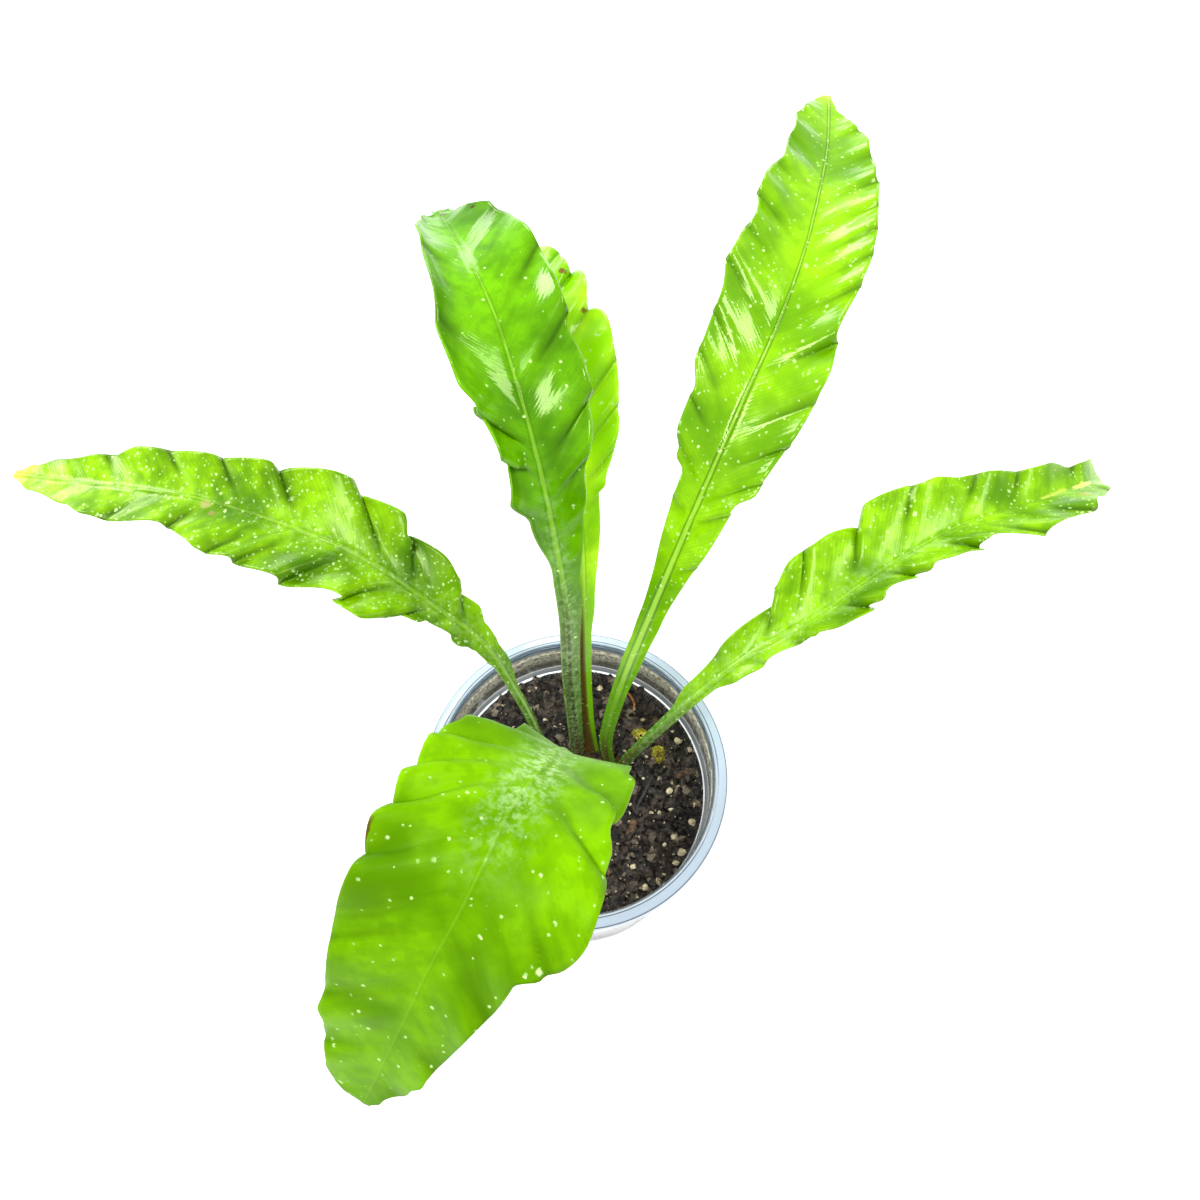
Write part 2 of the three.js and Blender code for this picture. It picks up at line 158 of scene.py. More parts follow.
def light(red, green, blue):  # a display colour from 0 to 255, as linear light
    shares = [part / 255 for part in (red, green, blue)]
    return tuple(c / 12.92 if c <= 0.04045 else ((c + 0.055) / 1.055) ** 2.4 for c in shares) + (1.0,)


def addNode(tree, kind, **settings):
    made = tree.nodes.new(kind)
    for name, value in settings.items():
        setattr(made, name, value)
    return made


def plug(tree, socket, value):
    if isinstance(value, bpy.types.NodeSocket):
        tree.links.new(value, socket)
    else:
        socket.default_value = value


def sums(tree, operation, first, second=0.0, third=0.0):
    made = addNode(tree, "ShaderNodeMath", operation=operation)
    for socket, value in zip(made.inputs, (first, second, third)):
        plug(tree, socket, value)
    return made.outputs[0]


def rise(tree, value, low, high, start=0.0, end=1.0):
    made = addNode(tree, "ShaderNodeMapRange", interpolation_type="SMOOTHSTEP")
    given = {"Value": value, "From Min": low, "From Max": high, "To Min": start, "To Max": end}
    for name, part in given.items():
        plug(tree, made.inputs[name], part)
    return made.outputs[0]


def blendColour(tree, share, first, second):
    made = addNode(tree, "ShaderNodeMix", data_type="RGBA")
    plug(tree, made.inputs[0], share)
    plug(tree, made.inputs[6], first)
    plug(tree, made.inputs[7], second)
    return made.outputs[2]


def joinXyz(tree, x, y, z=0.0):
    made = addNode(tree, "ShaderNodeCombineXYZ")
    for socket, value in zip(made.inputs, (x, y, z)):
        plug(tree, socket, value)
    return made.outputs[0]


def cloud(tree, place, scale, detail=2.0, roughness=0.5):
    made = addNode(tree, "ShaderNodeTexNoise")
    plug(tree, made.inputs["Vector"], place)
    made.inputs["Scale"].default_value = scale
    made.inputs["Detail"].default_value = detail
    made.inputs["Roughness"].default_value = roughness
    return made.outputs["Fac"]


def stretch(tree, place, upright):  # the place with its height scaled
    made = addNode(tree, "ShaderNodeMapping")
    made.inputs["Scale"].default_value = (1, 1, upright)
    tree.links.new(place, made.inputs["Vector"])
    return made.outputs[0]


def remainder(tree, cover, share):
    return sums(tree, "SUBTRACT", 1.0, sums(tree, "MULTIPLY", cover, share))


def splitColour(tree, colour):  # three numbers from 0 to 1, the same all over a cell
    parts = addNode(tree, "ShaderNodeSeparateColor")
    tree.links.new(colour, parts.inputs[0])
    return parts.outputs


def flecks(tree, place, scale, radius, share):  # spots of uneven size and outline in that share of the cells
    wobble = addNode(tree, "ShaderNodeTexNoise")
    plug(tree, wobble.inputs["Vector"], place)
    wobble.inputs["Scale"].default_value = 2.2 * scale
    warp = addNode(tree, "ShaderNodeVectorMath", operation="MULTIPLY_ADD")
    plug(tree, warp.inputs[0], wobble.outputs["Color"])
    warp.inputs[1].default_value = [0.5 / scale] * 3
    plug(tree, warp.inputs[2], place)
    cells = addNode(tree, "ShaderNodeTexVoronoi", feature="F1")
    plug(tree, cells.inputs["Vector"], warp.outputs[0])
    cells.inputs["Scale"].default_value = scale
    chance, bigness, faintness = splitColour(tree, cells.outputs["Color"])
    present = sums(tree, "GREATER_THAN", chance, sums(tree, "SUBTRACT", 1.0, share))
    unevenSize = sums(tree, "MULTIPLY_ADD", bigness, 0.65 * radius, 0.35 * radius)
    size = sums(tree, "MULTIPLY", present, unevenSize)
    inner = sums(tree, "MULTIPLY", size, 0.3)
    outer = sums(tree, "ADD", size, 0.04)
    spot = rise(tree, cells.outputs["Distance"], inner, outer, 1.0, 0.0)
    return sums(tree, "MULTIPLY", spot, rise(tree, faintness, 0.0, 1.0, 0.45, 1.0))


def addBump(tree, shader, height, strength, distance):
    bump = addNode(tree, "ShaderNodeBump")
    bump.inputs["Strength"].default_value = strength
    bump.inputs["Distance"].default_value = distance
    tree.links.new(height, bump.inputs["Height"])
    tree.links.new(bump.outputs[0], shader.inputs["Normal"])


def startMaterial(name):
    material = bpy.data.materials.new(name)
    material.use_nodes = True
    tree = material.node_tree
    shader = tree.nodes["Principled BSDF"]
    place = addNode(tree, "ShaderNodeTexCoord").outputs["Object"]
    return material, tree, shader, place


def makeGrainMaterial(name, look):  # two tones in a fine grain, with dirt where the look names it
    material, tree, shader, place = startMaterial(name)
    grainPlace = stretch(tree, place, look["upright"]) if "upright" in look else place
    grain = cloud(tree, grainPlace, *look["grain"])
    tone = rise(tree, grain, *look["spread"])
    colour = blendColour(tree, tone, light(*look["dark"]), light(*look["pale"]))
    if "dirt" in look:
        dirt = rise(tree, cloud(tree, place, look["dirtScale"], 3.0), 0.54, 0.66)
        colour = blendColour(tree, dirt, colour, light(*look["dirt"]))
    tree.links.new(colour, shader.inputs["Base Color"])
    shader.inputs["Roughness"].default_value = look["roughness"]
    addBump(tree, shader, grain, *look["relief"])
    return material


# Camera, floor and studio light

studio = {
    "cameraPlace": (0.00828, -0.11109, 0.54079),
    "cameraTilt": 22,  # degrees from straight down
    "lens": 39,
    "floorSide": 6,
    "worldStrength": 0.7,
    "lamps": [  # place, watts, width
        ((-0.42, -0.45, 1.5), 18, 0.5),
        ((-1.2, 0.95, 0.9), 17, 0.5),
        ((0.95, 0.2, 1.4), 15, 0.55),
        ((-0.2, 1.6, 0.65), 9, 0.6),
    ],
    "aim": (0.0, 0.05, 0.12),
}


def makeFloorMaterial():
    material, tree, shader, place = startMaterial("paleFloor")
    tone = cloud(tree, place, 3.0)
    tree.links.new(blendColour(tree, tone, light(247, 247, 247), light(252, 252, 252)), shader.inputs[0])
    shader.inputs["Roughness"].default_value = 0.9
    return material


def makeStudio(settings):
    bpy.ops.object.camera_add(location=settings["cameraPlace"])
    camera = bpy.context.object
    camera.rotation_euler = (math.radians(settings["cameraTilt"]), 0, 0)
    camera.data.lens = settings["lens"]
    camera.data.sensor_width = 36
    bpy.context.scene.camera = camera
    bpy.ops.mesh.primitive_plane_add(size=settings["floorSide"], location=(0, 0, -0.0005))
    floor = startPiece("floor")
    floor.data.materials.append(makeFloorMaterial())
    for place, watts, width in settings["lamps"]:
        bpy.ops.object.light_add(type="AREA", location=place)
        lamp = bpy.context.object
        lamp.data.energy = watts
        lamp.data.size = width
        towards = Vector(settings["aim"]) - Vector(place)
        lamp.rotation_euler = towards.to_track_quat("-Z", "Y").to_euler()
    world = bpy.data.worlds.new("studio")
    world.use_nodes = True
    world.node_tree.nodes["Background"].inputs[0].default_value = (1, 1, 1, 1)
    world.node_tree.nodes["Background"].inputs[1].default_value = settings["worldStrength"]
    bpy.context.scene.world = world
    bpy.context.scene.view_settings.view_transform = "Standard"


# Fronds. Lengths in these dictionaries are millimetres. midrib runs from base to tip, left and
# right give half-widths as (distance along the midrib, half-width), seen from base to tip, and
# leftFolds and rightFolds give (distance along the midrib, strength) where one lobe laps over the
# last. fold tilts each half up by so many degrees, and curl lifts its margin. bright and deep are
# the two greens of the blade. flecks, bloom, veins, spots and mottle say how strong each marking
# is, rib how strong the pale midrib and the painted shadow beside it are, and shade and baseShade
# how strong the painted shade in the creases and towards the foot of the blade is. gloss is the
# roughness and shine the specular level. wings and groove colour the stalk, and marks gives dry
# patches as (across, along, half-width, half-length, colour).

bladeShape = {
    "columns": 48,
    "rows": 300,
    "crowding": 1.5,  # draws the columns closer together at the midrib
    "thickness": 0.6,
    "stalkRib": 2.5,
    "tipRib": 0.5,
    "stalkRibWidth": 1.35,
    "bladeRibWidth": 0.9,
    "slant": 0.9,  # how far a side vein runs towards the tip for each step outwards
    "lift": 0.23,  # height of a lobe against its length
    "crest": 0.4,  # share of the lift that rounds each lobe between two sharp creases
    "crease": 0.015,  # softness of the creases
    "lean": 0.19,  # how far a lobe laps over the last against its length
    "widening": (3, 9),  # half-widths between which the stalk turns into blade
    "slowRipple": (9, 26),  # length along and across of the ripples
    "quickRipple": (4, 22),
    "rippleHeights": (1.6, 0.5),
    "stationSteps": 900,
}

fronds = {
    "frond_left": {
        "midrib": [
            (-3.5, 7, 86), (-10, 9.5, 101.5), (-18, 21, 121.5), (-30, 34.5, 143),
            (-47, 43.5, 158), (-68, 55, 168), (-92, 64, 171.5), (-119, 73.5, 169.5),
            (-146, 80.5, 163.5), (-168, 86.5, 157), (-189, 92.5, 150),
        ],
        "left": [
            (0, 2), (30, 1.6), (52, 1.7), (60, 2), (63, 3), (69, 3.6), (73, 4.5), (77, 6.5),
            (83, 4.9), (91, 5.6), (95, 8.5), (98, 9), (102, 13), (112, 19), (117, 16),
            (124, 16), (133, 19), (160, 17.5), (168, 18), (178, 12), (193, 12.5), (213, 13),
            (222, 9), (240, 5.5), (250, 1.5),
        ],
        "right": [
            (0, 2), (30, 1.6), (46, 1.8), (60, 4.4), (65, 4.2), (68, 4.8), (73, 5.4), (78, 8.5),
            (88, 8), (92, 11.5), (101, 15), (113, 12.5), (118, 18.5), (128, 17), (132, 21),
            (138, 21), (154, 16), (159, 17.5), (173, 15), (202, 14.5), (211, 11), (232, 7.5),
            (243, 4.5), (250, 1.5),
        ],
        "leftFolds": [
            (54, 0.1), (67.6, 0.6), (80.7, 0.8), (89.9, 0.8), (98.7, 0.8), (117.7, 1.1),
            (138.2, 0.9), (153.9, 0.8), (163.4, 0.6), (181.5, 0.7), (205, 0.4), (230, 0.1),
        ],
        "rightFolds": [
            (62, 0.2), (85.6, 0.7), (109.8, 1), (126.6, 1.1), (153.9, 0.8), (173.5, 0.7),
            (191.7, 0.5), (215, 0.3), (235, 0.1),
        ],
        "fold": (8, 12),
        "waves": 0.55,
        "seed": 1.0,
        "stalkEnd": 58,
        "bright": (150, 210, 0),
        "deep": (64, 112, 0),
        "flecks": 3.2,
        "bloom": 0.25,
        "bloomWidth": 9,
        "bloomEnd": 190,
        "gloss": 0.24,
        "veins": 0.6,
        "shade": 0.95,
        "spots": 0.22,
        "shine": 0.3,
        "baseShade": 0.35,
        "rib": 0.3,
        "curl": (0.0, 0.0),
        "wings": ((54, 96, 6), (72, 116, 12)),
        "groove": (140, 176, 92),
        "mottle": 0.3,
        "tipStart": 238,
        "tipColour": (214, 222, 70),
        "marks": [(-1.5, 172, 1.3, 2.0, (150, 152, 84)), (-4, 168, 1.0, 1.2, (126, 126, 60))],
    },
    "frond_back_left": {
        "midrib": [
            (0.4, 11.1, 86), (0, 12.5, 120), (-1, 17.5, 160), (-1.5, 27.5, 192),
            (-5, 40.5, 222), (-9, 54, 239), (-14, 69.5, 249), (-19.5, 86, 253),
            (-26, 102, 251.5), (-33, 118.5, 244), (-38, 132.5, 236),
        ],
        "left": [
            (0, 2.1), (30, 2.4), (93, 2.4), (118, 2.5), (124, 2.3), (143, 6), (154, 12),
            (161, 7.6), (168, 12.2), (180, 14.8), (186, 18.5), (233, 11.5), (247, 6.5), (252, 2),
        ],
        "right": [
            (0, 2.1), (30, 2.5), (91, 3.5), (116, 5), (140, 8.5), (150, 11), (159, 13.5),
            (167, 16.5), (174, 18.5), (181, 18.5), (188, 17), (195, 18.5), (220, 18.5),
            (230, 17), (244, 14), (250, 8), (252, 3),
        ],
        "leftFolds": [(147, 0.3), (162, 1.3), (175.3, 1.4), (199.7, 0.25), (225, 0.3), (245, 0.3)],
        "rightFolds": [(140, 0.1), (158, 0.5), (172.9, 0.7), (194.5, 0.6), (215, 0.4), (240, 0.2)],
        "fold": (16, 8),
        "waves": 0.35,
        "seed": 2.0,
        "stalkEnd": 112,
        "bright": (106, 176, 0),
        "deep": (56, 110, 0),
        "flecks": 0.25,
        "bloom": 0.5,
        "bloomWidth": 5,
        "bloomEnd": 170,
        "gloss": 0.12,
        "veins": 0.5,
        "shade": 0.8,
        "spots": 0.02,
        "shine": 0.32,
        "baseShade": 0.32,
        "rib": 0.4,
        "curl": (0.3, 0.05),
        "wings": ((62, 84, 32), (76, 112, 40)),
        "groove": (38, 44, 12),
        "mottle": 0.9,
        "tipStart": 300,
        "tipColour": (150, 200, 0),
        "marks": [
            (-11, 173, 1.2, 1.2, (96, 60, 34)),
            (0.5, 250, 1.2, 0.8, (60, 44, 16)),
            (9, 246, 1, 0.8, (60, 44, 16)),
        ],
    },
    "frond_back": {
        "midrib": [
            (6, 12.2, 86), (4, 15.5, 120), (3.2, 21.5, 155), (3, 32.5, 181), (2.5, 46.5, 202),
            (0, 63.5, 214), (-4, 84.5, 221), (-9, 103.5, 222), (-16, 121.5, 217),
            (-24, 139.5, 206),
        ],
        "left": [
            (0, 2.1), (60, 2.2), (90, 2.7), (112, 4.5), (130, 7), (142, 11), (152, 12.5),
            (162, 16), (172, 15), (182, 17.5), (194, 15.5), (204, 13.5), (215, 9.5), (224, 5),
            (229, 1),
        ],
        "right": [
            (0, 2.1), (55, 2.3), (85, 2.6), (99, 3.8), (135, 6.5), (138, 9), (145, 12.5),
            (154, 15.5), (169, 18), (181, 19), (187, 14.5), (198, 18), (202, 15), (213, 16),
            (219, 14), (224, 9), (229, 1.5),
        ],
        "leftFolds": [(120, 0.2), (136, 0.6), (150, 0.6), (165, 0.6), (180, 0.7), (196, 0.6), (212, 0.5)],
        "rightFolds": [
            (122, 0.2), (134, 0.5), (146, 0.5), (158, 0.6), (170, 0.6), (186.9, 1), (202.4, 1),
            (214, 0.7), (224, 0.3),
        ],
        "fold": (5, 10),
        "waves": 0.6,
        "seed": 3.0,
        "stalkEnd": 100,
        # Painted light: these greens are lighter than the other fronds' to lift the shadow that
        # frond_back_left casts here
        "bright": (196, 250, 36),
        "deep": (134, 206, 8),
        "flecks": 0.7,
        "bloom": 0.0,
        "bloomWidth": 5,
        "bloomEnd": 120,
        "gloss": 0.18,
        "veins": 0.6,
        "shade": 0.6,
        "spots": 0.05,
        "shine": 0.3,
        "baseShade": 0.0,
        "rib": 0.5,
        "curl": (0.0, 0.0),
        "wings": ((92, 66, 14), (112, 172, 4)),
        "groove": (84, 66, 12),
        "mottle": 0.15,
        "tipStart": 300,
        "tipColour": (150, 220, 0),
        "marks": [(13, 187, 1, 1, (120, 80, 40)), (13, 203, 1, 1, (120, 80, 40))],
    },
    "frond_back_right": {
        "midrib": [
            (11.8, 8.9, 86), (10.5, 11.5, 115), (16, 18.5, 157), (24.5, 31, 187),
            (36.5, 52.5, 213), (47.5, 73.5, 229.5), (57, 93, 237), (65, 114.5, 239),
            (71, 136.5, 236), (77, 163.5, 227), (81, 192.5, 217),
        ],
        "left": [
            (0, 2.1), (30, 2.3), (90, 2.7), (100, 3.1), (146, 7.5), (150, 11), (160, 14),
            (170, 14), (176, 17), (196, 18), (206, 20), (228, 16.5), (234, 17.5), (238, 17.5),
            (256, 13), (280, 11), (288, 8.5), (292, 6.5), (296, 4.5), (300, 2),
        ],
        "right": [
            (0, 2.1), (30, 2.3), (60, 2.6), (84, 3.6), (100, 4.2), (144, 10), (150, 14.5),
            (174, 18.5), (186, 19.5), (191, 17.5), (199, 17), (221, 19), (249, 17), (254, 15.5),
            (272, 12.5), (276, 11), (280, 9), (284, 7), (288, 5.2), (292, 2.5), (300, 0.8),
        ],
        "leftFolds": [
            (104, 0.1), (120.1, 0.4), (140, 0.4), (155, 0.4), (167.3, 0.6), (179, 0.5),
            (190.2, 0.6), (206.9, 0.6), (220, 0.5), (233.6, 0.8), (250, 0.5), (268, 0.3),
        ],
        "rightFolds": [
            (104, 0.1), (122, 0.4), (141.6, 0.6), (153, 0.5), (164.6, 0.7), (178, 0.5),
            (194.7, 1), (211.5, 0.6), (221, 0.6), (230.1, 0.8), (240, 0.5), (251.6, 0.6), (266, 0.4),
        ],
        "fold": (14, 10),
        "waves": 0.6,
        "seed": 4.0,
        "stalkEnd": 66,
        "bright": (136, 196, 2),
        "deep": (88, 144, 0),
        "flecks": 1.2,
        "bloom": 0.0,
        "bloomWidth": 5,
        "bloomEnd": 120,
        "gloss": 0.15,
        "veins": 0.7,
        "shade": 0.6,
        "spots": 0.1,
        "shine": 0.45,
        "baseShade": 0.08,
        "rib": 0.75,
        "curl": (0.0, 0.03),
        "wings": ((96, 156, 8), (92, 150, 10)),
        "groove": (112, 160, 50),
        "mottle": 0.4,
        "tipStart": 290,
        "tipColour": (186, 214, 60),
        "marks": [],
    },
    "frond_right": {
        "midrib": [
            (13.2, 3, 86), (17, 6, 101), (25, 9.5, 119.5), (39.5, 17, 142), (56, 26.5, 155),
            (78, 37.5, 163), (100, 52.5, 166), (124, 66.5, 165), (147, 76, 160), (162, 84, 154),
            (172, 90, 148.5), (180, 95.5, 141),
        ],
        "left": [
            (0, 2.1), (30, 1.8), (50, 2.2), (64, 4.9), (101, 10), (106, 14), (116, 19.5),
            (129, 19), (137, 15), (147, 20.5), (167, 17.5), (173, 15), (210, 10.5), (222, 7),
            (232, 7), (238, 7.5),
        ],
        "right": [
            (0, 2.1), (30, 1.8), (54, 2), (70, 2.2), (80, 5), (86, 6), (94, 4.2), (104, 5.5),
            (110, 10), (117, 14), (124, 8.5), (132, 13.5), (141, 8), (150, 13.5), (157, 17),
            (164, 12), (171, 15), (178, 19.5), (186, 18), (192, 18.5), (199, 14), (207, 16.5),
            (216, 11), (224, 8.5), (232, 6.5), (238, 4),
        ],
        "leftFolds": [
            (78, 0.3), (101.7, 0.9), (120, 0.5), (138.5, 1.2), (160, 0.6), (180.7, 0.6),
            (197.4, 0.6), (223.1, 0.4),
        ],
        "rightFolds": [
            (62, 0.2), (76.2, 0.6), (89.6, 0.9), (102.4, 0.9), (124.3, 1.1), (142.2, 1.1),
            (164.6, 0.9), (186, 0.5), (206, 0.5), (225, 0.3),
        ],
        "fold": (12, 38),
        "waves": 0.5,
        "seed": 5.0,
        "stalkEnd": 56,
        "bright": (152, 212, 8),
        "deep": (76, 128, 0),
        "flecks": 1.6,
        "bloom": 0.3,
        "bloomWidth": 9,
        "bloomEnd": 180,
        "gloss": 0.22,
        "veins": 0.6,
        "shade": 0.9,
        "spots": 0.22,
        "shine": 0.3,
        "baseShade": 0.3,
        "rib": 0.3,
        "curl": (0.0, 0.0),
        "wings": ((66, 118, 2), (74, 104, 38)),
        "groove": (104, 144, 58),
        "mottle": 0.4,
        "tipStart": 230,
        "tipColour": (170, 206, 70),
        "marks": [
            (0, 206, 1.0, 8, (176, 196, 70)),
            (1, 221, 1.5, 6, (196, 206, 92)),
            (7, 213, 2.2, 3, (166, 166, 84)),
        ],
    },
    "frond_front": {
        "midrib": [
            (5.5, -0.1, 86), (4, -5, 130), (2, -13, 170), (0.5, -21.5, 210), (-1.5, -29.5, 244),
            (-5, -39.5, 263), (-10, -50, 274.5), (-14.5, -61, 278), (-20, -71, 273),
            (-27, -80.5, 262), (-35, -91.5, 244.5), (-47, -106, 214),
        ],
        "left": [
            (0, 2.1), (30, 3), (70, 3), (100, 5), (125, 8), (138, 16), (160, 17), (171, 15.5),
            (177, 20), (182, 20.5), (187.5, 17), (195, 20), (201, 23), (218, 26), (228, 21),
            (232, 17), (278, 10.5), (282, 8.5), (295, 3.7), (299, 1.5),
        ],
        "right": [
            (0, 2.1), (30, 3), (70, 3), (100, 6), (125, 8.5), (140, 9.5), (150, 10.5), (158, 11),
            (165, 12.5), (173, 17), (181, 21), (186, 23.2), (191, 21.6), (195, 23.6), (200, 21.4),
            (204.5, 23.8), (209.5, 21.6), (217, 25), (224, 22.8), (230, 24), (271, 18.5),
            (275, 16), (283, 14.5), (291, 12), (297, 8.5), (300, 4),
        ],
        "leftFolds": [
            (110, 0.2), (128, 0.5), (148, 0.9), (165.8, 0.9), (187.1, 0.9), (208, 0.4),
            (226.2, 0.5), (245, 0.3), (270, 0.3),
        ],
        "rightFolds": [
            (110, 0.1), (130, 0.2), (151, 0.35), (172, 0.6), (190.5, 0.8), (200, 0.8), (209.5, 0.8),
            (225, 0.5), (248, 0.3), (266.6, 0.3),
        ],
        "fold": (2, 2),
        "waves": 0.6,
        "seed": 6.0,
        "stalkEnd": 88,
        "bright": (112, 168, 0),
        "deep": (76, 124, 0),
        "flecks": 0.35,
        "bloom": 1.1,
        "bloomWidth": 10,
        "bloomEnd": 225,
        "gloss": 0.36,
        "veins": 0.25,
        "shade": 0.5,
        "spots": 0.1,
        "shine": 0.05,
        "baseShade": 0.1,
        "rib": 0.1,
        "curl": (0.0, 0.0),
        "wings": ((92, 140, 20), (92, 140, 20)),
        "groove": (104, 130, 40),
        "mottle": 0.3,
        "tipStart": 330,
        "tipColour": (104, 154, 0),
        "marks": [(24.5, 221, 0.7, 4.5, (84, 48, 20))],
    },
}


def curvePoint(points, turn):
    last = len(points) - 1
    index = min(int(turn), last - 1)
    t = turn - index
    b, c = points[index], points[index + 1]
    a = points[index - 1] if index > 0 else 2 * b - c
    d = points[index + 2] if index + 2 <= last else 2 * c - b
    square = 2 * a - 5 * b + 4 * c - d
    cube = 3 * b - a - 3 * c + d
    return 0.5 * (2 * b + (c - a) * t + square * t ** 2 + cube * t ** 3)


def midribStations(midrib, rows, fine):  # even steps along the midrib, each with its across and normal
    points = [Vector(point) for point in midrib]
    trail = [curvePoint(points, (len(points) - 1) * i / fine) for i in range(fine + 1)]
    lengths = [0.0]
    for before, after in zip(trail, trail[1:]):
        lengths.append(lengths[-1] + (after - before).length)
    heading = points[-1] - points[0]
    heading.z = 0
    side = heading.normalized().cross(Vector((0, 0, 1)))
    stations = []
    index = 0
    for row in range(rows + 1):
        along = lengths[-1] * row / rows
        while index < fine - 1 and lengths[index + 1] < along:
            index += 1
        share = (along - lengths[index]) / (lengths[index + 1] - lengths[index])
        point = trail[index].lerp(trail[index + 1], share)
        tangent = (trail[min(index + 3, fine)] - trail[max(index - 2, 0)]).normalized()
        across = (side - tangent * side.dot(tangent)).normalized()
        stations.append((along, point, tangent, across, across.cross(tangent)))
    return stations


def foldPlaces(folds, pairs, slant):  # each fold as (side vein that it follows, strength, lobe length)
    places = []
    for i, (along, strength) in enumerate(folds):
        before = folds[max(i - 1, 0)][0]
        after = folds[min(i + 1, len(folds) - 1)][0]
        lobe = (after - before) / 2 if 0 < i < len(folds) - 1 else after - before
        places.append((along - slant * smoothBetween(pairs, along), strength, lobe))
    return places


def lobeAt(places, vein):  # how many lobes lie before this vein, and the lobe's size there
    if vein <= places[0][0]:
        gap = places[1][0] - places[0][0]
        fade = max(0.0, 1 - (places[0][0] - vein) / gap)
        return (vein - places[0][0]) / gap, places[0][1] * places[0][2] * fade
    for i, (here, there) in enumerate(zip(places, places[1:])):
        if vein < there[0]:
            share = (vein - here[0]) / (there[0] - here[0])
            size = here[1] * here[2] * (1 - share) + there[1] * there[2] * share
            return i + share, size
    gap = places[-1][0] - places[-2][0]
    return len(places) - 1 + (vein - places[-1][0]) / gap, places[-1][1] * places[-1][2]


def frondPoint(look, places, station, step, shape):  # the place, the half-width and the shade painted near a crease
    along, point, tangent, across, normal = station
    sign = -1 if step < 0 else 1
    half = smoothBetween(look["left"] if step < 0 else look["right"], along)
    widening = smoothStep(half, *shape["widening"])
    fold = math.radians(look["fold"][0 if step < 0 else 1]) * widening
    outward = abs(step)
    reach = half * outward
    faceNormal = normal * math.cos(fold) - across * sign * math.sin(fold)
    vein = along - shape["slant"] * reach
    turn, size = lobeAt(places, vein)
    wave = math.sin(turn * 2 * math.pi)
    dip = math.sin(turn * math.pi) ** 2
    crest = 2 * math.sqrt(dip + shape["crease"]) - 1.2
    swell = size * widening * outward ** 1.5
    lift = shape["lift"] * swell * (wave * (1 - shape["crest"]) + crest * shape["crest"])
    lean = -shape["lean"] * swell * wave
    curl = look["curl"][0 if step < 0 else 1] * half * outward ** 4
    spread = outward ** 0.6 * (1 - 0.4 * outward)
    slowAlong, slowAcross = shape["slowRipple"]
    quickAlong, quickAcross = shape["quickRipple"]
    slowHeight, quickHeight = shape["rippleHeights"]
    slow = noise.noise(Vector((vein / slowAlong, reach / slowAcross, look["seed"] * 7 + sign)))
    quick = noise.noise(Vector((vein / quickAlong, reach / quickAcross, look["seed"] * 3 + sign)))
    ripple = look["waves"] * widening * spread * (slow * slowHeight + quick * quickHeight)
    place = point + across * sign * reach * math.cos(fold) + normal * reach * math.sin(fold)
    # how much shade is painted here for the nearby crease
    creaseShade = (0.4 * math.exp(-dip / 0.03) + 0.6 * math.exp(-dip / 0.3)) * min(1.0, swell / 6)
    return place + faceNormal * (lift + ripple + curl) + tangent * lean, half, creaseShade


def makeFrond(name, look, shape, materials):
    columns, rows = shape["columns"], shape["rows"]
    deselectAll()
    bpy.ops.mesh.primitive_grid_add(x_subdivisions=columns, y_subdivisions=rows, size=2)
    piece = startPiece(name.replace("frond", "leaf"))
    mesh = piece.data
    stations = midribStations(look["midrib"], rows, shape["stationSteps"])
    length = stations[-1][0]
    sides = {
        -1: foldPlaces(look["leftFolds"], look["left"], shape["slant"]),
        1: foldPlaces(look["rightFolds"], look["right"], shape["slant"]),
    }
    thick = piece.vertex_groups.new(name="thick")
    leafPlaces, creaseShades = [], []
    most = shape["thickness"] + shape["stalkRib"]
    for vertex in mesh.vertices:
        spot = vertex.co.x
        step = math.copysign(abs(spot) ** shape["crowding"], spot)
        station = stations[round((vertex.co.y + 1) / 2 * rows)]
        place, half, creaseShade = frondPoint(look, sides[-1 if step < 0 else 1], station, step, shape)
        along = station[0]
        reach = half * abs(step)
        blade = smoothStep(along, look["stalkEnd"] - 30, look["stalkEnd"] + 20)
        ribWidth = shape["stalkRibWidth"] + (shape["bladeRibWidth"] - shape["stalkRibWidth"]) * blade
        ribHeight = shape["stalkRib"] + (shape["tipRib"] - shape["stalkRib"]) * (along / length) ** 0.6
        rib = ribHeight * math.exp(-(reach / ribWidth) ** 2)
        thick.add([vertex.index], (shape["thickness"] + rib) / most, "REPLACE")
        leafPlaces.extend((half * step, along, step))
        creaseShades.append(creaseShade)
        vertex.co = place * mm
    mesh.attributes.new("leafPlace", "FLOAT_VECTOR", "POINT").data.foreach_set("vector", leafPlaces)
    mesh.attributes.new("leafCreaseShade", "FLOAT", "POINT").data.foreach_set("value", creaseShades)
    mesh.update()
    pick(piece)
    middle = mesh.polygons[columns * rows // 2]
    upward = stations[rows // 2][4]
    if middle.normal.dot(upward) < 0:
        bpy.ops.object.mode_set(mode="EDIT")
        bpy.ops.mesh.select_all(action="SELECT")
        bpy.ops.mesh.flip_normals()
        bpy.ops.object.mode_set(mode="OBJECT")
    wall = piece.modifiers.new("wall", "SOLIDIFY")
    wall.thickness = most * mm
    wall.offset = 0
    wall.vertex_group = "thick"
    wall.material_offset = 1
    wall.use_rim = True
    applyModifiers(piece)
    bpy.ops.object.shade_smooth()
    finishPiece(piece, materials, "frond_green", name)


# Frond materials. Distances across and along a frond are millimetres, and noise scales are per metre.

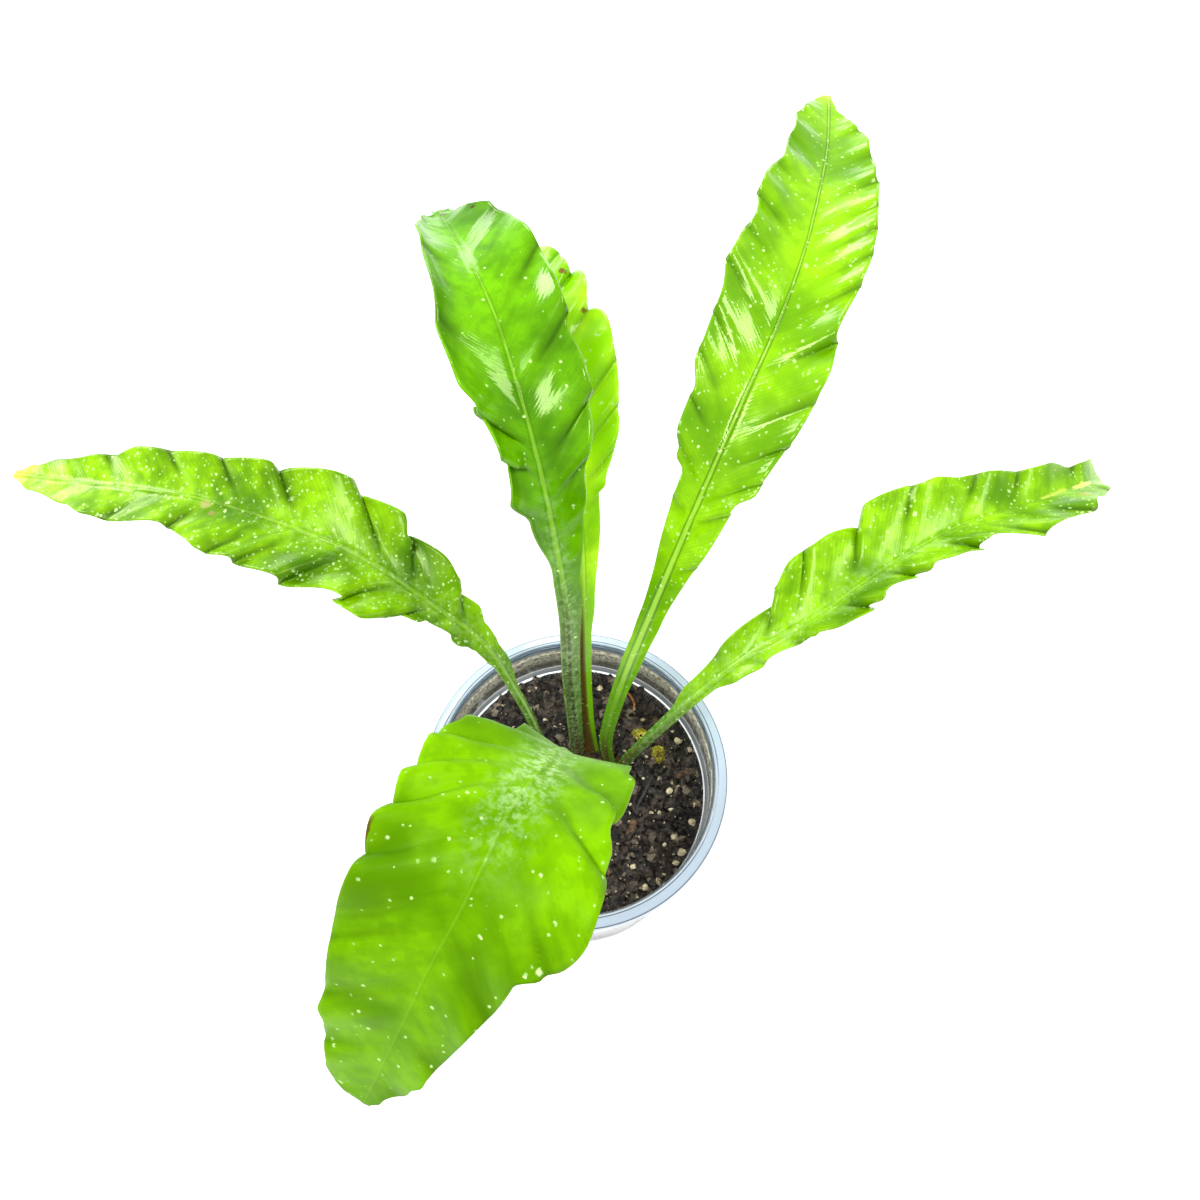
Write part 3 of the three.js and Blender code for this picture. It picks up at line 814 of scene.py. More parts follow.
frondFinish = {
    "blotchScale": 34,
    "streakShare": 0.16,  # of streaks along the side veins, against blotches
    "streakBend": 9,
    "mottleScale": 240,
    "mottleShare": 0.3,
    "veinSpacing": 1.15,
    "veinShare": 0.26,
    "creaseShadeColour": (38, 76, 0),
    "baseShadeLength": 110,
    "baseShadeColour": (60, 104, 0),
    "ribEnd": 240,
    "ribWidths": (0.6, 0.22),  # half-widths at the foot of the blade and at ribEnd
    "ribShadow": (44, 88, 2),
    "ribColour": (150, 196, 62),
    "stalkMottle": (124, 150, 88),
    "stalkBlotch": (40, 58, 14),
    "stalkShare": 0.6,
    "grooveShare": 0.8,
    "footEnds": (14, 44),
    "footColour": (82, 64, 30),
    "marginShare": 0.1,
    "marginColour": (166, 212, 40),
    "tipFade": 16,
    "smallSpots": (640, 0.4),  # scale and radius in shares of a cell
    "largeSpots": (330, 0.3),
    "spotShare": 0.9,
    "spotColour": (198, 230, 154),
    "chalkScale": 560,
    "chalkFade": 50,
    "chalkShare": 0.62,
    "chalkColour": (178, 206, 150),
    "tint": (0.86, 1.0, 0.5, 1.0),
    "relief": 0.0009,
}


def frondMeasures(tree, slant):  # where a point lies across and along its frond, and on which side vein
    leaf = addNode(tree, "ShaderNodeAttribute", attribute_name="leafPlace")
    parts = addNode(tree, "ShaderNodeSeparateXYZ")
    tree.links.new(leaf.outputs["Vector"], parts.inputs[0])
    across, along, step = parts.outputs
    reach = sums(tree, "ABSOLUTE", across)
    vein = sums(tree, "SUBTRACT", along, sums(tree, "MULTIPLY", reach, slant))
    return across, along, step, reach, vein


def paintRib(tree, colour, look, finish, along, reach):  # thin pale midrib between two lines of painted shadow where grooves flank it
    ribWidth = rise(tree, along, look["stalkEnd"], finish["ribEnd"], *finish["ribWidths"])
    sideBand = sums(tree, "SUBTRACT", reach, sums(tree, "MULTIPLY", ribWidth, 2.0))
    ribShadowLine = rise(tree, sums(tree, "ABSOLUTE", sideBand), 0.1, 0.4, 0.75 * look["rib"], 0.0)
    colour = blendColour(tree, ribShadowLine, colour, light(*finish["ribShadow"]))
    ribLine = rise(tree, sums(tree, "SUBTRACT", reach, ribWidth), -0.15, 0.3, look["rib"], 0.0)
    return blendColour(tree, ribLine, colour, light(*finish["ribColour"]))


def paintStalk(tree, colour, look, finish, place, across, along, reach):  # two mottled wings and a groove
    stalk = rise(tree, along, look["stalkEnd"] - 22, look["stalkEnd"] + 14, 1.0, 0.0)
    side = rise(tree, across, -0.3, 0.3)
    wings = blendColour(tree, side, light(*look["wings"][0]), light(*look["wings"][1]))
    strength = finish["stalkShare"] * look["mottle"]
    pale = rise(tree, cloud(tree, place, 480, 3.0, 0.65), 0.48, 0.62)
    wings = blendColour(tree, sums(tree, "MULTIPLY", pale, strength), wings, light(*finish["stalkMottle"]))
    dark = rise(tree, cloud(tree, place, 330, 3.0, 0.65), 0.52, 0.66)
    wings = blendColour(tree, sums(tree, "MULTIPLY", dark, strength), wings, light(*finish["stalkBlotch"]))
    colour = blendColour(tree, stalk, colour, wings)
    groove = sums(tree, "MULTIPLY", rise(tree, reach, 0.3, 0.7, 1.0, 0.0), stalk)
    groove = sums(tree, "MULTIPLY", groove, finish["grooveShare"])
    colour = blendColour(tree, groove, colour, light(*look["groove"]))
    foot = rise(tree, along, *finish["footEnds"], 0.8, 0.0)
    foot = sums(tree, "MULTIPLY", foot, rise(tree, reach, 0.6, 1.3, 1.0, 0.0))
    return blendColour(tree, foot, colour, light(*finish["footColour"]))


def paintMarks(tree, colour, look, place, across, along):  # dry oval patches with ragged edges
    ragged = sums(tree, "MULTIPLY_ADD", cloud(tree, place, 420, 2.0), 1.6, -0.8)
    for markAcross, markAlong, halfWide, halfLong, tint in look["marks"]:
        aside = sums(tree, "MULTIPLY", sums(tree, "SUBTRACT", across, markAcross), 1 / halfWide)
        ahead = sums(tree, "MULTIPLY", sums(tree, "SUBTRACT", along, markAlong), 1 / halfLong)
        asideSquare = sums(tree, "MULTIPLY", aside, aside)
        aheadSquare = sums(tree, "MULTIPLY", ahead, ahead)
        far = sums(tree, "SQRT", sums(tree, "ADD", asideSquare, aheadSquare))
        patch = rise(tree, sums(tree, "ADD", far, ragged), 0.6, 1.15, 0.9, 0.0)
        colour = blendColour(tree, patch, colour, light(*tint))
    return colour


def chalkSpots(tree, look, finish, place, streak):  # dried water spots in rows between the veins
    row = rise(tree, streak, 0.36, 0.62, 0.12, 1.0)
    smallShare = sums(tree, "MULTIPLY", row, 0.5 * look["flecks"])
    small = flecks(tree, place, *finish["smallSpots"], smallShare)
    large = flecks(tree, place, *finish["largeSpots"], sums(tree, "MULTIPLY", row, look["spots"]))
    return sums(tree, "MAXIMUM", small, large)


def chalkDust(tree, look, finish, place, along, reach):  # a white bloom beside the midrib
    patches = rise(tree, cloud(tree, place, finish["chalkScale"], 4.0, 0.65), 0.42, 0.66)
    near = rise(tree, reach, 0.5, look["bloomWidth"], 1.0, 0.0)
    early = rise(tree, along, look["bloomEnd"] - finish["chalkFade"], look["bloomEnd"], 1.0, 0.0)
    where = sums(tree, "MULTIPLY", near, early)
    return sums(tree, "MULTIPLY", where, sums(tree, "MULTIPLY", patches, look["bloom"]))


def makeUpperMaterial(name, look, finish, slant):
    material, tree, shader, place = startMaterial(name)
    across, along, step, reach, vein = frondMeasures(tree, slant)
    crease = addNode(tree, "ShaderNodeAttribute", attribute_name="leafCreaseShade").outputs["Fac"]
    deep, bright = light(*look["deep"]), light(*look["bright"])

    # Blade: soft blotches, faint side veins, and painted shade in the creases and towards the foot
    blotch = cloud(tree, place, finish["blotchScale"], 3.0, 0.55)
    bend = sums(tree, "MULTIPLY_ADD", cloud(tree, place, 55, 2.0), finish["streakBend"], vein)
    streakAlong = sums(tree, "MULTIPLY", bend, 0.26)
    streakAcross = sums(tree, "MULTIPLY", across, 0.07)
    streak = cloud(tree, joinXyz(tree, streakAlong, streakAcross, look["seed"]), 1.0, 2.0, 0.5)
    blotches = sums(tree, "MULTIPLY", blotch, 1 - finish["streakShare"])
    tone = sums(tree, "MULTIPLY_ADD", streak, finish["streakShare"], blotches)
    colour = blendColour(tree, rise(tree, tone, 0.37, 0.63), deep, bright)
    fine = cloud(tree, place, finish["mottleScale"], 3.0, 0.6)
    colour = blendColour(tree, rise(tree, fine, 0.42, 0.6, 0.0, finish["mottleShare"]), colour, deep)
    jitter = sums(tree, "MULTIPLY", cloud(tree, place, 260, 1.0), 3.0)
    lines = sums(tree, "SINE", sums(tree, "MULTIPLY_ADD", vein, 2 * math.pi / finish["veinSpacing"], jitter))
    lines = sums(tree, "MULTIPLY_ADD", lines, 0.5, 0.5)
    veins = sums(tree, "MULTIPLY", lines, finish["veinShare"] * look["veins"])
    colour = blendColour(tree, veins, colour, deep)
    # Painted shade: the blade turns a darker green near each crease
    crease = sums(tree, "MULTIPLY", crease, look["shade"])
    colour = blendColour(tree, crease, colour, light(*finish["creaseShadeColour"]))
    # Painted shade: the blade turns a darker green towards its foot
    baseShadeEnd = look["stalkEnd"] + finish["baseShadeLength"]
    base = rise(tree, along, look["stalkEnd"], baseShadeEnd, look["baseShade"], 0.0)
    colour = blendColour(tree, base, colour, light(*finish["baseShadeColour"]))

    # Midrib, stalk, a thin margin paler than the blade, tip and dry marks
    colour = paintRib(tree, colour, look, finish, along, reach)
    colour = paintStalk(tree, colour, look, finish, place, across, along, reach)
    margin = rise(tree, sums(tree, "ABSOLUTE", step), 0.975, 0.995, 0.0, finish["marginShare"])
    colour = blendColour(tree, margin, colour, light(*finish["marginColour"]))
    tip = rise(tree, along, look["tipStart"], look["tipStart"] + finish["tipFade"])
    colour = blendColour(tree, tip, colour, light(*look["tipColour"]))
    colour = paintMarks(tree, colour, look, place, across, along)

    # Chalk
    spots = chalkSpots(tree, look, finish, place, streak)
    spotted = sums(tree, "MULTIPLY", spots, finish["spotShare"])
    colour = blendColour(tree, spotted, colour, light(*finish["spotColour"]))
    dust = chalkDust(tree, look, finish, place, along, reach)
    dusted = sums(tree, "MULTIPLY", dust, finish["chalkShare"])
    colour = blendColour(tree, dusted, colour, light(*finish["chalkColour"]))
    tree.links.new(colour, shader.inputs["Base Color"])

    # Gloss, duller under the chalk, and the relief of veins and spots
    roughness = sums(tree, "MULTIPLY_ADD", blotch, 0.16, look["gloss"] - 0.06)
    chalk = sums(tree, "MAXIMUM", spots, dust)
    tree.links.new(sums(tree, "MULTIPLY_ADD", chalk, 0.3, roughness), shader.inputs["Roughness"])
    shader.inputs["Specular IOR Level"].default_value = look["shine"]
    shader.inputs["Specular Tint"].default_value = finish["tint"]
    streaks = sums(tree, "MULTIPLY", streak, 0.7 * look["veins"])
    height = sums(tree, "MULTIPLY_ADD", lines, 0.03 * look["veins"], streaks)
    height = sums(tree, "MULTIPLY_ADD", spots, 0.08, height)
    addBump(tree, shader, height, 0.6, finish["relief"])
    return material


def makeUnderMaterial(slant):  # streaked, with a browner keel and foot
    material, tree, shader, _ = startMaterial("frondUnderside")
    across, along, _, reach, vein = frondMeasures(tree, slant)
    streakPlace = joinXyz(tree, sums(tree, "MULTIPLY", vein, 0.4), sums(tree, "MULTIPLY", across, 0.05))
    streak = cloud(tree, streakPlace, 1.0, 3.0, 0.6)
    colour = blendColour(tree, rise(tree, streak, 0.35, 0.65), light(74, 128, 22), light(112, 164, 48))
    keel = rise(tree, reach, 0.5, 1.6, 0.8, 0.0)
    colour = blendColour(tree, keel, colour, light(96, 96, 48))
    foot = rise(tree, along, 40, 110, 0.5, 0.0)
    colour = blendColour(tree, foot, colour, light(92, 80, 42))
    tree.links.new(colour, shader.inputs["Base Color"])
    shader.inputs["Roughness"].default_value = 0.5
    addBump(tree, shader, streak, 0.6, 0.0008)
    return material


# Pot. The profile runs from the underside, up the outside, over the lip and down the inside,
# as (radius, height) in millimetres.

potShape = {
    "steps": 144,
    "profile": [
        (40.5, 0), (41.6, 0.35), (42, 1.2), (44.4, 42), (46.9, 83.4), (47.5, 84.3), (48.1, 85.6),
        (48.4, 94), (48.7, 102.8), (49.4, 103.3), (50.6, 103.1), (51, 102.6), (51, 98.8),
        (51.3, 98.5), (51.7, 98.5), (51.9, 98.8), (52, 104.5), (51.9, 105), (51.5, 105.3),
        (48.9, 106.9), (48.5, 107), (48.1, 106.95), (47.7, 106.6), (47.5, 105.3), (47.35, 104.6),
        (46.95, 104.1), (46.95, 103.6), (47.3, 103.1), (47.2, 100.5), (46.9, 99.9), (47.1, 99.2),
        (46.95, 86.1), (46.75, 85.2), (46.2, 84.7), (45.7, 84.4), (42.2, 30), (40.9, 2.6),
        (40.5, 1.85), (39.9, 1.6),
    ],
    "holes": 8,
    "holeRadius": 3.4,
    "holeCircle": 28,
    "holeSides": 28,
    "drillLength": 10,
    "lipFoot": 98,
}

plasticLook = {  # heights and distances from the axis are millimetres
    "clearColour": (244, 248, 252),
    "milkyColour": (194, 210, 226),
    "milkyHeights": (97.5, 99.5),
    "milkyOut": (47.6, 48.3),
    "milkyCover": 0.74,
    "shadedEdgeLines": [48.7, 51.75],
    "edgeShadeColour": (70, 84, 98),
    "stainTop": 102.8,
    "stainFoot": 85.4,
    "stainOut": (47.3, 47.6),
    "stainScale": 240,
    "stainCover": 0.96,
    "crustScale": 700,
    "crustDark": (150, 142, 112),
    "crustPale": (244, 238, 218),
    "lowStainHeights": (90, 97),
    "lowStainShare": 0.88,
    "lowStainColour": (62, 60, 52),
    "ledge": (84, 86),
    "ledgeShadeColour": (104, 108, 112),
    "ledgeShadeCover": 0.85,
    "relief": 0.0004,
}


def makePot(shape, materials):
    pot = lathe("clearPot", shape["profile"], shape["steps"], Vector((0, 0, 0)))
    deselectAll()
    for hole in range(shape["holes"]):
        angle = (hole + 0.5) / shape["holes"] * 2 * math.pi
        circle = shape["holeCircle"] * mm
        bpy.ops.mesh.primitive_cylinder_add(
            vertices=shape["holeSides"], radius=shape["holeRadius"] * mm, depth=shape["drillLength"] * mm,
            location=(circle * math.cos(angle), circle * math.sin(angle), 0),
        )
        drill = startPiece("drill")
        cut = pot.modifiers.new("cut", "BOOLEAN")
        cut.operation = "DIFFERENCE"
        cut.object = drill
        applyModifiers(pot)
        bpy.data.objects.remove(drill)
    pick(pot)
    bpy.ops.object.shade_smooth_by_angle(angle=math.radians(32))
    finishPiece(pot, materials, "clear_plastic", "pot")
    for face in pot.data.polygons:
        face.material_index = 0 if face.center.z > shape["lipFoot"] * mm else 1


def makePlasticMaterial(name, look, ior):
    material, tree, shader, place = startMaterial(name)
    parts = addNode(tree, "ShaderNodeSeparateXYZ")
    tree.links.new(place, parts.inputs[0])
    x, y, z = parts.outputs
    out = sums(tree, "SQRT", sums(tree, "ADD", sums(tree, "MULTIPLY", x, x), sums(tree, "MULTIPLY", y, y)))
    out = sums(tree, "MULTIPLY", out, 1 / mm)
    height = sums(tree, "MULTIPLY", z, 1 / mm)

    # Milky lip, thick enough to look pale blue, with painted shade lines where its edges turn, standing in
    # for refraction there
    milkyHigh = rise(tree, height, *look["milkyHeights"])
    lip = sums(tree, "MULTIPLY", milkyHigh, rise(tree, out, *look["milkyOut"]))
    colour = blendColour(tree, lip, light(*look["clearColour"]), light(*look["milkyColour"]))
    for radius in look["shadedEdgeLines"]:
        band = sums(tree, "ABSOLUTE", sums(tree, "SUBTRACT", out, radius))
        line = sums(tree, "MULTIPLY", rise(tree, band, 0.1, 0.3, 0.85, 0.0), rise(tree, height, 101, 103))
        colour = blendColour(tree, line, colour, light(*look["edgeShadeColour"]))

    # Lime and peat crust inside the upper wall, darker grey lower down
    high = rise(tree, height, look["stainTop"] - 1.5, look["stainTop"], 1.0, 0.0)
    low = rise(tree, height, look["stainFoot"], look["stainFoot"] + 1)
    inner = rise(tree, out, *look["stainOut"], 1.0, 0.0)
    drips = cloud(tree, stretch(tree, place, 0.35), look["stainScale"], 5.0, 0.7)
    patchy = rise(tree, drips, 0.3, 0.46, 0.8, 1.0)
    stain = sums(tree, "MULTIPLY", sums(tree, "MULTIPLY", high, low), sums(tree, "MULTIPLY", inner, patchy))
    flakes = cloud(tree, place, look["crustScale"], 3.0, 0.7)
    pale = rise(tree, flakes, 0.38, 0.58)
    crust = blendColour(tree, pale, light(*look["crustDark"]), light(*look["crustPale"]))
    lowStain = sums(tree, "MULTIPLY", rise(tree, height, *look["lowStainHeights"], 1.0, 0.0), look["lowStainShare"])
    crust = blendColour(tree, lowStain, crust, light(*look["lowStainColour"]))
    colour = blendColour(tree, stain, colour, crust)

    # Stacking ledge in painted grey shade, and less clear
    ledgeLow, ledgeHigh = look["ledge"]
    overLow = rise(tree, height, ledgeLow, ledgeLow + 0.4)
    underHigh = rise(tree, height, ledgeHigh - 0.6, ledgeHigh, 1.0, 0.0)
    ledge = sums(tree, "MULTIPLY", sums(tree, "MULTIPLY", overLow, underHigh), inner)
    colour = blendColour(tree, sums(tree, "MULTIPLY", ledge, 0.9), colour, light(*look["ledgeShadeColour"]))
    tree.links.new(colour, shader.inputs["Base Color"])

    # Clear apart from these three
    clear = remainder(tree, lip, look["milkyCover"])
    clear = sums(tree, "MULTIPLY", clear, remainder(tree, stain, look["stainCover"]))
    clear = sums(tree, "MULTIPLY", clear, remainder(tree, ledge, look["ledgeShadeCover"]))
    tree.links.new(clear, shader.inputs["Transmission Weight"])
    scratches = cloud(tree, place, 60, 3.0, 0.6)
    tree.links.new(sums(tree, "MULTIPLY_ADD", scratches, 0.1, 0.06), shader.inputs["Roughness"])
    shader.inputs["IOR"].default_value = ior
    addBump(tree, shader, sums(tree, "MULTIPLY", stain, flakes), 0.4, look["relief"])
    return material


# Potting mix: a packed plug whose top is crumbled

mixShape = {
    "top": 84,
    "crownRise": 1.8,
    "bump": 0.7,
    "ledgeRadius": 46.9,
    "topRadius": 45.35,
    "footRadius": 40.55,
    "foot": 1.9,
    "steps": 160,
    "rings": 40,
    "levels": 34,
    "waves": [(0.31, 0.12, 0), (-0.17, 0.27, 1.3)],  # turns per mm across x and y, and the start
    "coarse": (2.1, 0.8),  # length and height of the crumbled surface
    "fine": (0.9, 0.45),
}

mixLook = {
    "grainScale": 420,
    "patchScale": 75,
    "dark": (10, 9, 8),
    "pale": (88, 76, 66),
    "chunkScale": 420,
    "gapShadeColour": (6, 5, 5),
    "chunkColour": (158, 142, 122),
    "specksAndGlints": (700, 0.34, 0.2),  # scale, radius in shares of a cell, share of the cells
    "speckAndGlintColour": (208, 198, 172),
    "wetScale": 330,
    "relief": 0.0011,
}


def mixHeight(x, y):  # millimetres
    crown = mixShape["crownRise"] * (1 - math.hypot(x, y) / mixShape["ledgeRadius"])
    wave = sum(math.sin(x * acrossX + y * acrossY + start) for acrossX, acrossY, start in mixShape["waves"])
    return mixShape["top"] + crown + mixShape["bump"] * wave / 2


def makeMix(shape, material):
    deselectAll()
    height = shape["top"] - shape["foot"]
    bpy.ops.mesh.primitive_cylinder_add(
        vertices=shape["steps"], radius=shape["topRadius"] * mm, depth=height * mm,
        location=(0, 0, (shape["foot"] + height / 2) * mm),
    )
    mix = startPiece("mixPlug")
    settle(mix)
    selectLevelFaces(mix, -1)
    shrink = shape["footRadius"] / shape["topRadius"]
    bpy.ops.transform.resize(value=(shrink, shrink, 1), center_override=(0, 0, shape["foot"] * mm))
    bpy.ops.object.mode_set(mode="OBJECT")
    selectLevelFaces(mix, 1)
    for _ in range(shape["rings"]):
        bpy.ops.mesh.inset(thickness=shape["topRadius"] * mm / (shape["rings"] + 0.6), depth=0)
    bpy.ops.object.mode_set(mode="OBJECT")
    cutUprightEdges(mix, 10 * mm, shape["levels"])
    coarseLength, coarseHeight = shape["coarse"]
    fineLength, fineHeight = shape["fine"]
    for vertex in mix.data.vertices:
        x, y, z = vertex.co / mm
        spot = Vector((x, y, z))
        crumb = noise.noise(spot / coarseLength) * coarseHeight
        crumb += noise.noise(spot / fineLength + Vector((9, 0, 0))) * fineHeight
        if z > shape["top"] - 0.2:
            edge = smoothStep(math.hypot(x, y), shape["topRadius"] - 2.5, shape["topRadius"])
            vertex.co.z = (mixHeight(x, y) + crumb - 0.5 - 0.8 * edge) * mm
        else:
            pull = max(0.0, crumb + 0.25) * 0.8 * smoothStep(z, shape["foot"], shape["foot"] + 2)
            outward = Vector((x, y, 0)).normalized()
            vertex.co -= outward * pull * mm
    pick(mix)
    bpy.ops.object.shade_smooth_by_angle(angle=math.radians(50))
    finishPiece(mix, [material], "potting_mix", "potting_mix")


def makeMixMaterial(name, look):
    material, tree, shader, place = startMaterial(name)
    grain = cloud(tree, place, look["grainScale"], 6.0, 0.7)
    patch = cloud(tree, place, look["patchScale"], 3.0, 0.6)
    tone = sums(tree, "MULTIPLY_ADD", grain, 0.7, sums(tree, "MULTIPLY", patch, 0.3))
    colour = blendColour(tree, rise(tree, tone, 0.4, 0.66), light(*look["dark"]), light(*look["pale"]))
    cells = addNode(tree, "ShaderNodeTexVoronoi", feature="F1")
    plug(tree, cells.inputs["Vector"], place)
    cells.inputs["Scale"].default_value = look["chunkScale"]
    gapChance, chunkChance, _ = splitColour(tree, cells.outputs["Color"])
    # Dark cells: partly darker crumbs, partly painted shade in the gaps between crumbs
    gapShades = rise(tree, gapChance, 0.2, 0.7, 0.65, 0.0)
    colour = blendColour(tree, gapShades, colour, light(*look["gapShadeColour"]))
    chunks = rise(tree, chunkChance, 0.86, 0.97, 0.0, 0.6)
    colour = blendColour(tree, chunks, colour, light(*look["chunkColour"]))
    # Pale specks: partly pale grit, partly painted glints on the wet crumbs
    specksAndGlints = flecks(tree, place, *look["specksAndGlints"])
    colour = blendColour(tree, specksAndGlints, colour, light(*look["speckAndGlintColour"]))
    tree.links.new(colour, shader.inputs["Base Color"])
    wet = rise(tree, cloud(tree, place, look["wetScale"], 2.0), 0.42, 0.6, 0.8, 0.3)
    tree.links.new(wet, shader.inputs["Roughness"])
    addBump(tree, shader, grain, 1.0, look["relief"])
    return material


def lumpPrototypes(count, detail, uneven, seed):  # uneven unit lumps as (points, faces)
    lumps = []
    for kind in range(count):
        deselectAll()
        bpy.ops.mesh.primitive_ico_sphere_add(subdivisions=detail, radius=1)
        model = startPiece("lumpModel")
        for vertex in model.data.vertices:
            shift = noise.noise(vertex.co * 1.1 + Vector((seed + kind * 5.3, 0, 0)))
            fine = noise.noise(vertex.co * 3.1 + Vector((0, seed + kind * 3.7, 0)))
            vertex.co *= 1 + uneven * (shift * 1.4 + fine * 0.5)
        lumps.append(([vertex.co.copy() for vertex in model.data.vertices],
                      [tuple(face.vertices) for face in model.data.polygons]))
        bpy.data.objects.remove(model)
    return lumps


def joinCopies(name, prototypes, placements):  # one mesh of many copies, each with its own matrix
    points, faces = [], []
    for kind, matrix in placements:
        first = len(points)
        shapePoints, shapeFaces = prototypes[kind]
        points.extend(matrix @ point for point in shapePoints)
        faces.extend(tuple(first + index for index in face) for face in shapeFaces)
    mesh = bpy.data.meshes.new(name)
    mesh.from_pydata(points, [], faces)
    mesh.update()
    piece = bpy.data.objects.new(name, mesh)
    bpy.context.collection.objects.link(piece)
    return piece


def scatter(name, settings, material, slot):
    prototypes = lumpPrototypes(*settings["lumps"])
    rng = random.Random(settings["seed"])
    placements = []
    for _ in range(settings["count"]):
        radius = settings["spread"] * math.sqrt(rng.random())
        angle = rng.uniform(0, 2 * math.pi)
        x, y = radius * math.cos(angle), radius * math.sin(angle)
        size = rng.uniform(*settings["size"]) * rng.uniform(0.6, 1.0)
        stretch = rng.uniform(*settings["stretch"])
        z = mixHeight(x, y) + size * settings["lift"]
        turn = Matrix.Rotation(rng.uniform(0, 2 * math.pi), 4, "Z")
        turn = turn @ Matrix.Rotation(rng.uniform(-0.5, 0.5), 4, "Y")
        shape = Matrix.Diagonal((size * stretch * mm, size * mm, size * settings["height"] * mm, 1))
        kind = rng.randrange(len(prototypes))
        placements.append((kind, Matrix.Translation(Vector((x, y, z)) * mm) @ turn @ shape))
    piece = joinCopies(name, prototypes, placements)
    finishPiece(piece, [material], slot)


# Loose bits on the mix. Sizes are millimetres, lift raises a bit by that share of its size, and lumps
# gives the kinds of lump, their detail, their unevenness and their seed.

crumbs = {
    "seed": 11, "count": 3600, "spread": 44, "size": (0.4, 1.9), "stretch": (1.0, 1.9),
    "lift": 0.55, "height": 0.85, "lumps": (8, 1, 0.7, 2.0),
}
paleBits = {
    "seed": 12, "count": 420, "spread": 43.5, "size": (0.18, 0.7), "stretch": (1.0, 1.9),
    "lift": 2.4, "height": 0.8, "lumps": (5, 1, 0.5, 7.0),
}
needles = {
    "seed": 13, "count": 110, "spread": 42, "size": (0.16, 0.26), "stretch": (7, 22),
    "lift": 2.2, "height": 1.0, "lumps": (3, 1, 0.2, 9.0),
}


# Perlite grains, bark chips, moss, fibre and root, each where its plain node lies

def boxOf(name):
    low, high = (Vector(corner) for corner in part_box(name))
    return (low + high) / 2, high - low


perliteShape = {"detail": 4, "share": 0.86, "drop": 0.5}

perliteLook = {
    "grain": (900, 4.0, 0.7),  # scale, detail and roughness of the noise
    "spread": (0.35, 0.65),
    "dark": (178, 160, 122),
    "pale": (236, 226, 194),
    "dirt": (104, 82, 56),
    "dirtScale": 420,
    "roughness": 0.75,
    "relief": (0.8, 0.0004),
}


def makePerlite(shape, material):
    names = sorted(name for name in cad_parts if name.startswith("perlite_"))
    for number, name in enumerate(names):
        centre, size = boxOf(name)
        deselectAll()
        bpy.ops.mesh.primitive_ico_sphere_add(subdivisions=shape["detail"], radius=0.5)
        grain = startPiece(name.replace("perlite_", "perliteGrain"))
        for vertex in grain.data.vertices:
            spot = vertex.co * 2 + Vector((number * 3.1, 0, 0))
            facet = noise.voronoi(spot * 1.3)[0][0]
            pits = noise.voronoi(spot * 3.4)[0][0]
            vertex.co *= 0.6 + 0.42 * facet + 0.22 * pits + 0.16 * noise.noise(spot)
        grain.scale = size * shape["share"]
        grain.rotation_euler = (number * 1.3, number * 0.7, number * 2.1)
        grain.location = centre - Vector((0, 0, shape["drop"] * mm))
        settle(grain)
        bpy.ops.object.shade_smooth_by_angle(angle=math.radians(60))
        finishPiece(grain, [material], "perlite", name)


barkChips = {  # turn about +Z in degrees, half-length in millimetres
    "bark_chip_1": (15, 3.6), "bark_chip_2": (70, 3.4), "bark_chip_3": (130, 3),
    "bark_chip_4": (40, 3.2), "bark_chip_5": (10, 3.4), "bark_chip_6": (100, 3),
}

barkLook = {
    "upright": 3,
    "grain": (520, 5.0, 0.65),
    "spread": (0.38, 0.62),
    "dark": (40, 30, 22),
    "pale": (112, 84, 58),
    "roughness": 0.8,
    "relief": (0.9, 0.0006),
}


def makeBark(chips, material):
    for number, (name, (turn, half)) in enumerate(chips.items()):
        centre, size = boxOf(name)
        deselectAll()
        bpy.ops.mesh.primitive_cube_add(size=2)
        chip = startPiece(name.replace("bark_chip_", "barkChip"))
        bpy.ops.object.mode_set(mode="EDIT")
        bpy.ops.mesh.subdivide(number_cuts=9)
        bpy.ops.object.mode_set(mode="OBJECT")
        for vertex in chip.data.vertices:
            x, y, z = vertex.co
            jag = noise.noise(Vector((number * 4.1, y * 4, z * 2))) * 0.28 * abs(x) ** 3
            fibre = noise.noise(Vector((x * 0.7, y * 5, z * 4 + number))) * 0.22
            dome = 1 - 0.22 * (y * y) - 0.1 * x * x
            breadth = y * (0.85 + fibre) * (1 - 0.3 * x * x)
            vertex.co = Vector((x * (0.86 + jag), breadth, z * dome * (0.8 + fibre)))
        chip.scale = (half * mm, half * 0.45 * mm, size.z / 2)
        chip.rotation_euler = (0, 0, math.radians(turn))
        chip.location = centre - Vector((0, 0, 0.3 * mm))
        settle(chip)
        bpy.ops.object.shade_smooth_by_angle(angle=math.radians(45))
        finishPiece(chip, [material], "bark", name)


moss = {"leaves": 520, "leafLength": 0.85, "seed": 21, "reach": 0.44, "foot": 0.45, "dome": 0.6}

mossLook = {
    "grain": (330, 3.0, 0.6),
    "spread": (0.38, 0.62),
    "dark": (168, 156, 36),
    "pale": (240, 232, 104),
    "roughness": 0.7,
    "relief": (0.5, 0.0003),
}


def spikePrototype():  # one small pointed leaf along +X, as (points, faces)
    points = [
        Vector((0, -0.16, 0)), Vector((0, 0.16, 0)), Vector((0.5, 0.24, 0.12)), Vector((0.5, -0.24, 0.12)),
        Vector((1, 0, 0.36)), Vector((0.5, 0, -0.02)), Vector((0, 0, -0.1)),
    ]
    faces = [(0, 3, 2, 1), (3, 4, 2), (0, 6, 5, 3), (6, 1, 2, 5), (3, 5, 4), (5, 2, 4), (0, 1, 6)]
    return points, faces


